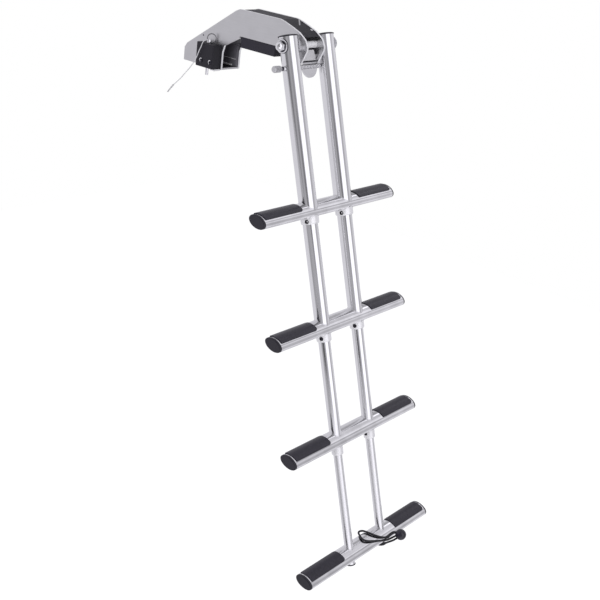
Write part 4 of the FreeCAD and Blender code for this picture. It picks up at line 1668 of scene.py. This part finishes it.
    def treads(self) -> None:
        """The two grip pads, each with its right-hand corners rounded."""
        rows = []
        ease, sharp, steps = 6.0, 1.2, 16
        marks = [0.0, 0.3, 0.8, 1.8, 3.0, 4.4, 6.0]
        inner = [self.tread_near + m for m in marks]
        outer = [self.tread_far - m for m in (1.2, 0.7, 0.3, 0.0)]
        stations = inner + [self.tread_near + 20.0 + 10.0 * k for k in range(8)] + outer
        for x in stations:
            near, far = x - self.tread_near, self.tread_far - x
            half, middle = (self.tread_front + self.tread_back) / 2, (self.tread_back - self.tread_front) / 2
            if near < ease:
                half -= ease - math.sqrt(ease**2 - (ease - near) ** 2)
            if far < sharp:
                half -= sharp - math.sqrt(sharp**2 - (sharp - far) ** 2)
            row = []
            for grow, order in ((self.tread_high, 1), (0.05, -1)):
                for k in range(steps + 1)[::order]:
                    y = middle + half * (-1 + 2 * k / steps)
                    z = (self.thick + grow) * math.sqrt(1 - (y / (self.deep + grow)) ** 2)
                    row.append(Vector((x, y, z)))
            rows.append(row)
        pad = self.shop.soften(Shape.rings(rows), 0.5, 3, 45.0).moved(self.tilted())
        left = pad.mirrored()
        apart = self.tread_near + self.tread_far
        right = Shape(left.mesh.copy()).moved(Matrix.Translation((apart, 0.0, 0.0)))
        pair = Shape().join(left, right)
        name = f"grip_pads_{self.number}"
        self.shop.piece(name, pair, TREAD, self.mount, f"tread_pads_{self.number}", smooth=50.0)

    def bushes(self) -> None:
        """The bushes in the tubes' mouths, each with a hole for its button."""
        inner = self.widths[self.index + 1] / 2 + self.fit_gap
        profile = collar(self.radius - self.wall, inner, self.mouth, self.mouth + self.bush, 0.3)
        pair = Shape()
        for side in Side:
            x = side.value * self.apart / 2
            ring = Shape.turned(profile, Along.Z, (x, 0.0, 0.0))
            hole = self.drill(self.index, x, self.radius, self.bush_hole, self.radius + 1.0)
            pair.join(self.shop.carve(ring, hole))
        self.shop.piece(f"tube_bushes_{self.number}", pair, BLACK, self.mount, f"bushes_{self.number}")

    def buttons(self) -> None:
        """The snap buttons, domed and flush with the tubes they sit in, dark as painted shade in their holes,
        with bright crowns of painted highlight on the second section.
        """
        top = self.radius
        dome = [(self.button * sin, -top + 1.1 * (1 - cos)) for sin, cos in quarter(8)]
        knob = dome + [(self.button, -top + 5.0), (0.0, -top + 5.0)]
        z = -(self.drops[self.index - 1] + self.button_below)
        if self.index - 1 < 2:
            button = Shape.turned(knob, count=40).moved(self.inward())
            pair = self.shop.both(button, DARK_STEEL, self.apart, z)
        else:
            right = Shape.turned(knob, Along.X, (self.apart / 2, 0.0, z), 40)
            pair = Shape().join(right, right.mirrored())
        # Painted shade: the buttons' dark steel darkens the holes they sit in.
        name, node = f"lock_buttons_{self.number}", f"snap_buttons_{self.number}"
        self.shop.piece(name, pair, DARK_STEEL, self.mount, node)
        # Painted highlight: a small bright crown on each button.
        if self.index == 1:
            side = ((0.0, -0.1), (self.crown * 0.7, 0.0), (self.crown, 0.5), (0.0, 0.6))
            bead = Shape.turned([(radius, -top + up) for radius, up in side], count=24)
            beads = self.shop.both(bead.moved(self.inward()), FROSTED_AND_HIGHLIGHT, self.apart, z)
            self.shop.piece("button_glints", beads, FROSTED_AND_HIGHLIGHT, self.mount)

    def plugs(self) -> None:
        """The plugs in the feet of the last tubes."""
        low, bore, brim = self.mouth, self.radius - self.wall, 10.6
        foot, top = low - 2.0, low + 8.0
        outline = [(0.0, foot), (brim, foot), (brim, low), (bore, low), (bore, top), (0.0, top)]
        profile = rounded(outline, 0.7, (1, 2), 3)
        pair = self.shop.both(Shape.turned(profile), BLACK, self.apart)
        self.shop.piece("foot_plugs", pair, BLACK, self.mount, "tube_plugs")

    def build(self) -> None:
        """Build and dress the whole section."""
        self.rails()
        self.step()
        self.welds()
        self.caps()
        self.treads()
        if self.index < 3:
            self.bushes()
        if self.index > 0:
            self.buttons()
        if self.index == 3:
            self.plugs()


@dataclass
class StopFittings:
    """The rail caps, the stop pin, its knob and its round tab."""

    shop: Workshop
    apart: float = 111.8
    rail_radius: float = 19.05
    rail_top: float = 17.8
    cap_high: float = 1.3
    cap_dome: float = 3.2
    y: float = 2.5
    z: float = -43.0
    pin: float = 5.0
    knob: float = 6.75
    knob_long: float = 26.0
    tab: float = 22.5

    def build(self) -> None:
        """Build and dress the fittings of the first section's head."""
        wide = self.rail_radius + 1.0
        rim = self.rail_top + self.cap_high
        profile = [(0.0, self.rail_top), (wide, self.rail_top)]
        profile += [(wide * cos, rim + self.cap_dome * sin) for sin, cos in quarter(12)]
        profile[-1] = (0.0, rim + self.cap_dome)
        pair = self.shop.both(Shape.turned(profile), BLACK, self.apart)
        self.shop.piece("rail_end_caps", pair, BLACK, SECTIONS[0], "rail_caps")
        rail_out = self.apart / 2 + self.rail_radius
        start, end = -rail_out - 5.0, rail_out + 1.0
        rod = self.threaded(start, end)
        self.shop.piece("stop_rod", rod, TURNED, SECTIONS[0], "stop_pin")
        self.knob_piece(start)
        self.tab_piece()

    def on_rod(self, profile: Sequence[Corner], count: int) -> Shape:
        """A profile turned about the stop pin's axis."""
        return Shape.turned(profile, Along.X, (0.0, self.y, self.z), count)

    def threaded(self, start: float, end: float) -> Shape:
        """The stop pin with a rolled thread between the rails, its roots darkened as painted shade.

        Args:
            start: The pin's left end.
            end: Its right end.

        Returns:
            The threaded pin.
        """
        core = self.pin - 1.6
        bare = 36.0
        profile = rounded([
            (0.0, start), (self.pin, start), (self.pin, -bare), (core, -bare + 0.4), (core, bare - 0.4),
            (self.pin, bare), (self.pin, end), (0.0, end),
        ], 0.5, (1, 6), 3)
        rod = self.on_rod(profile, 64)
        side = [(core - 0.1, 1.7), (self.pin - 0.3, 1.2), (self.pin, 0.5)]
        crest = Shape.turned([(radius, -x) for radius, x in side] + side[::-1], Along.X, count=48)
        pitch = 4.6
        count = int((bare * 2 - 2.0) / pitch)
        crests = self.shop.row(crest, TURNED, count, (-bare + 1.4, self.y, self.z), (pitch, 0.0, 0.0))
        # Painted shade: a dark sleeve in the thread's roots.
        root = self.on_rod(collar(core + 0.15, core - 0.4, -bare + 0.5, bare - 0.5, 0.1), 64)
        self.shop.piece("stop_rod_root_shade", root, DARK_STEEL, SECTIONS[0])
        return rod.join(crests)

    def knob_piece(self, start: float) -> None:
        """The knurled knob on the stop pin's left end, with a dark neck of painted shade.

        Args:
            start: The pin's left end.
        """
        core = self.knob - 0.5
        low, high = start - self.knob_long, start
        neck = high - 7.0
        barrel = rounded([
            (0.0, low), (core - 0.6, low), (core, low + 1.0), (core, neck - 1.0), (core - 0.6, neck),
            (0.0, neck),
        ], 0.4, (1, 2, 3, 4), 3)
        shape = self.on_rod(barrel, 72)
        tooth = [(-0.42, core - 0.2), (0.42, core - 0.2), (0.0, self.knob)]
        ridge = Shape.prism(tooth, low + 1.6, neck - 1.6)
        tree = self.shop.tree("ring", ring_tree)
        shape.join(self.shop.grown(ridge, tree, SATIN, Count=42, Middle=(0.0, self.y, self.z)))
        # Painted shade: a dark collar where the knob meets the rail.
        neck_shade = self.on_rod(collar(4.4, 2.0, neck - 0.5, high, 0.4), 48)
        self.shop.piece("stop_rod_neck_shade", neck_shade, DARK_STEEL, SECTIONS[0])
        self.shop.piece("stop_rod_knob", shape, SATIN, SECTIONS[0], "stop_knob")

    def tab_piece(self) -> None:
        """The round tab that hangs under the stop pin."""
        lower_half = (circle(self.tab, 64) + [(self.tab, 0.0)])[32:]
        outline = [(x, self.z + z) for x, z in lower_half]
        half = 2.0
        rows = [[Vector((x, y, z)) for x, z in outline] for y in (self.y - half, self.y + half)]
        tab = Shape.rings(rows)
        bore = self.on_rod(drum(self.pin, -30.0, 30.0, 0.1), 48)
        tab = self.shop.soften(self.shop.carve(tab, bore), 0.5, 3)
        self.shop.piece("stop_rod_tab", tab, TURNED, SECTIONS[0], "stop_tab")


@dataclass
class ShockCord:
    """The shock cord that ties the closed ladder: a loop, its ball and its anchor."""

    shop: Workshop
    ball: float = 12.5
    loop: Strand = field(default_factory=lambda: Strand(
        "cord_loop", "bungee_loop", SECTIONS[3], SHOCK_CORD, 2.25, 0.247, "object", "medium", "loose",
        (
            (79.5, -27.5, -1088.8), (70.5, -24.0, -1088.6), (58.0, -23.7, -1090.3), (44.1, -23.0, -1088.3),
            (30.9, -19.7, -1081.9), (21.5, -13.6, -1075.6), (15.8, -4.5, -1070.2), (14.4, 8.0, -1067.6),
            (15.2, 18.0, -1068.0), (10.5, 23.2, -1069.0), (2.5, 19.0, -1068.4), (-6.0, 9.0, -1067.5),
            (-13.9, -1.8, -1069.2), (-14.6, -9.7, -1072.8), (-6.8, -15.4, -1076.8), (6.1, -19.4, -1081.0),
            (19.8, -22.3, -1085.7), (36.9, -24.0, -1092.0), (54.0, -23.4, -1097.3), (67.6, -23.2, -1098.1),
            (77.0, -28.0, -1096.3),
        ),
    ))
    anchor: Strand = field(default_factory=lambda: Strand(
        "cord_anchor", "bungee_anchor", SECTIONS[3], SHOCK_CORD, 2.25, 0.066, "object", "medium", "loose",
        (
            (80.0, -29.0, -1102.5), (72.0, -23.2, -1106.6), (63.0, -17.2, -1107.6), (53.5, -13.4, -1107.8),
            (45.6, -8.6, -1107.6), (43.2, 0.6, -1107.4), (47.6, 9.0, -1107.3), (55.0, 10.6, -1107.4),
        ),
    ))

    def build(self) -> None:
        """Build and dress the cord, its anchor and its ball."""
        half = [(self.ball * sin, -self.ball * cos) for sin, cos in quarter(24)]
        profile = half + [(radius, -z) for radius, z in half[-2::-1]]
        ball = Shape.turned(profile, Along.Z, (84.0, -36.0, -1095.0), 72)
        piece = self.shop.piece("cord_ball", ball, BALL, SECTIONS[3], "bungee_ball", smooth=60.0)
        self.loop.build([piece])
        self.anchor.build([])


@dataclass(frozen=True)
class Band:
    """A smooth band of one measure: where it rises, where it falls and by how much."""

    rise: Corner
    fall: Optional[Corner] = None
    drop: float = 1.0

    def over(self, measure: Wave) -> Wave:
        """The band's height from 0 to 1 over a measure.

        Args:
            measure: What the band is laid over.

        Returns:
            The height as a wave.
        """
        height = measure.step(*self.rise)
        if self.fall is None:
            return height
        return height * (1.0 - measure.step(*self.fall) * self.drop)


def strip(low: float, high: float) -> Band:
    """A band with narrow edges."""
    edge = 2.5
    return Band((low - edge, low + edge), (high - edge, high + edge))


class Height(Enum):
    """How a patch's height is measured."""

    UPRIGHT = 0.0
    ALONG_RAILS = 0.325


@dataclass(frozen=True)
class Patch:
    """A lighter or darker patch of the room, by its bearing and its height."""

    gain: float
    bearing: Band
    height: Optional[Band] = None
    measure: Height = Height.ALONG_RAILS

    def glow(self, bearing: Wave, heights: dict[Height, Wave]) -> Wave:
        """What the patch adds to the room's light."""
        glow = self.bearing.over(bearing) * self.gain
        return glow * self.height.over(heights[self.measure]) if self.height else glow


@dataclass
class Studio:
    """The camera, the floor, the surroundings and the lamps."""

    camera_at: Point = (-1.5736, -1.4424, 0.3576)
    camera_turn: Point = (66.702, -6.597, -48.321)
    lens: float = 60.02
    floor_height: float = -1.5
    floor_half: float = 3.0
    facing: Corner = (-0.7788, -0.6272)
    room: float = 0.70
    soft_room: float = 0.72
    lowest: Corner = (-0.345, -0.315)
    aside: Corner = (0.40, 0.56)
    ceiling: Corner = (0.665, 0.69)
    upper: Sequence[Patch] = (
        Patch(-0.28, Band((-68.0, -52.0), (13.0, 20.0))),
        Patch(-0.08, Band((-68.0, -52.0), (-45.0, -25.0)), Band((-0.24, -0.20), (-0.14, -0.10))),
        Patch(-0.46, Band((-42.0, -30.0), (-8.0, 4.0)), Band((-0.287, -0.268), (-0.246, -0.236))),
        Patch(-0.25, Band((-68.0, -52.0), (-42.0, -12.0)), Band((-0.07, -0.02)), Height.UPRIGHT),
        Patch(-0.24, Band((-18.0, 6.0), (13.0, 20.0)), Band((0.03, 0.11), (0.15, 0.24), 0.6), Height.UPRIGHT),
        Patch(0.55, Band((18.0, 26.0), (66.0, 78.0))),
    )
    lower: Sequence[Patch] = (
        Patch(-0.26, Band((-88.0, -60.0), (-40.0, -8.0))),
        Patch(0.4125, Band((-22.0, 14.0), (36.0, 80.0))),
    )
    behind: Sequence[Patch] = (
        Patch(-0.26, Band((68.0, 78.0))),
        Patch(0.20, Band((92.0, 108.0))),
        Patch(-0.10, Band((140.0, 165.0))),
    )
    strips: Sequence[Patch] = (
        Patch(0.10, strip(20.0, 45.0)), Patch(-0.18, strip(46.0, 58.0)),
        Patch(0.20, strip(60.0, 83.0)), Patch(0.85, strip(105.0, 114.0)),
        Patch(-0.16, strip(117.0, 137.0)), Patch(-0.06, strip(138.0, 172.0)),
        Patch(0.12, strip(-80.0, -35.0)),
    )

    def build(self) -> None:
        """Set the studio up."""
        scene = bpy.context.scene
        scene.view_settings.view_transform = "Standard"
        self.camera()
        self.surroundings()
        self.floor()
        self.lamps()

    def camera(self) -> None:
        """The camera at the photograph's place and angle."""
        data = bpy.data.cameras.new("view")
        data.lens = self.lens
        data.sensor_width = 36.0
        data.clip_start, data.clip_end = 0.05, 60.0
        item = bpy.data.objects.new("view", data)
        item.location = self.camera_at
        item.rotation_euler = [math.radians(angle) for angle in self.camera_turn]
        bpy.context.scene.collection.objects.link(item)
        bpy.context.scene.camera = item

    def surroundings(self) -> None:
        """A white room whose lighter and darker patches the steel mirrors."""
        world = bpy.data.worlds.new("studio room")
        world.use_nodes = True
        bpy.context.scene.world = world
        graph = Graph(world.node_tree)
        direction = graph.output(graph.add("ShaderNodeTexCoord"), "Generated")
        apart = graph.add("ShaderNodeSeparateXYZ", None, Vector=direction)
        x, y, z = (graph.output(apart, name) for name in "XYZ")
        ahead_x, ahead_y = self.facing
        toward = x * ahead_x + y * ahead_y
        right = x * -ahead_y + y * ahead_x
        bearing = right.angle(toward)
        roll = z.angle(y * -1.0)
        heights = {kind: z + y * kind.value for kind in Height}
        above = heights[Height.ALONG_RAILS].step(*self.lowest)
        aside = Band(self.aside).over(x) * (1.0 - Band(self.ceiling).over(z) * 0.8)
        level: Number = self.room
        for patches, share, turn in (
            (self.upper, above, bearing), (self.lower, 1.0 - above, bearing),
            (self.behind, 1.0, bearing), (self.strips, aside, roll),
        ):
            for patch in patches:
                level = level + patch.glow(turn, heights) * share
        path = graph.add("ShaderNodeLightPath")
        seen = graph.output(path, "Is Camera Ray")
        mirrored = graph.output(path, "Is Glossy Ray")
        unseen = mirrored * level + (1.0 - mirrored) * self.soft_room
        strength = seen + (1.0 - seen) * unseen
        color = graph.mix(seen, shade(1.0, 0.05), shade(1.0))
        back = graph.add("ShaderNodeBackground", None, Color=color, Strength=strength)
        graph.add("ShaderNodeOutputWorld", None, Surface=back)

    def floor(self) -> None:
        """A plain pale floor below the ladder."""
        mesh = bmesh.new()
        half = self.floor_half
        corners = [(-half, -half), (half, -half), (half, half), (-half, half)]
        mesh.faces.new([mesh.verts.new((x, y, self.floor_height)) for x, y in corners])
        data = bpy.data.meshes.new("floor")
        mesh.to_mesh(data)
        item = bpy.data.objects.new("floor", data)
        bpy.context.scene.collection.objects.link(item)
        made = bpy.data.materials.new("pale floor")
        made.use_nodes = True
        graph = Graph(made.node_tree)
        place = graph.output(graph.add("ShaderNodeTexCoord"), "Object")
        mottle = graph.output(graph.add("ShaderNodeTexNoise", None, Vector=place, Scale=6.0), "Fac")
        paint = graph.add("ShaderNodeBsdfDiffuse", None, Color=(0.3, 0.3, 0.3, 1.0))
        seen = graph.output(graph.add("ShaderNodeLightPath"), "Is Camera Ray")
        strength = seen * 0.45 + mottle * 0.01 + 0.34
        glow = graph.add("ShaderNodeEmission", None, Color=(1.0, 1.0, 1.0, 1.0), Strength=strength)
        total = graph.add("ShaderNodeAddShader", None, paint, glow)
        graph.add("ShaderNodeOutputMaterial", None, Surface=total)
        data.materials.append(made)
        item.visible_glossy = False

    def lamps(self) -> None:
        """Two broad soft lamps, not mirrored by the steel."""
        for name, place, width, power in (
            ("key lamp", (-3.2, -0.7, 1.1), 2.2, 66.0),
            ("front lamp", (0.9, -2.9, 1.6), 2.0, 6.0),
        ):
            data = bpy.data.lights.new(name, "AREA")
            data.size = width
            data.energy = power
            item = bpy.data.objects.new(name, data)
            item.location = place
            aim = Vector((0.0, -0.2, -0.4)) - Vector(place)
            item.rotation_euler = aim.to_track_quat("-Z", "Y").to_euler()
            item.visible_glossy = False
            bpy.context.scene.collection.objects.link(item)


def main() -> None:
    """Build the studio and the ladder, piece by piece."""
    logging.basicConfig(level=logging.INFO, format="%(name)s: %(message)s")
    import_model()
    shop = Workshop()
    Studio().build()
    parts = [LockingPin(shop), ShockCord(shop), Bracket(shop), StopFittings(shop)]
    parts += [Section(shop, index) for index in range(4)]
    for part in parts:
        before = len(shop.made)
        part.build()
        log.info("%s: %s", type(part).__name__, ", ".join(shop.made[before:]))


if __name__ == "__main__":
    main()
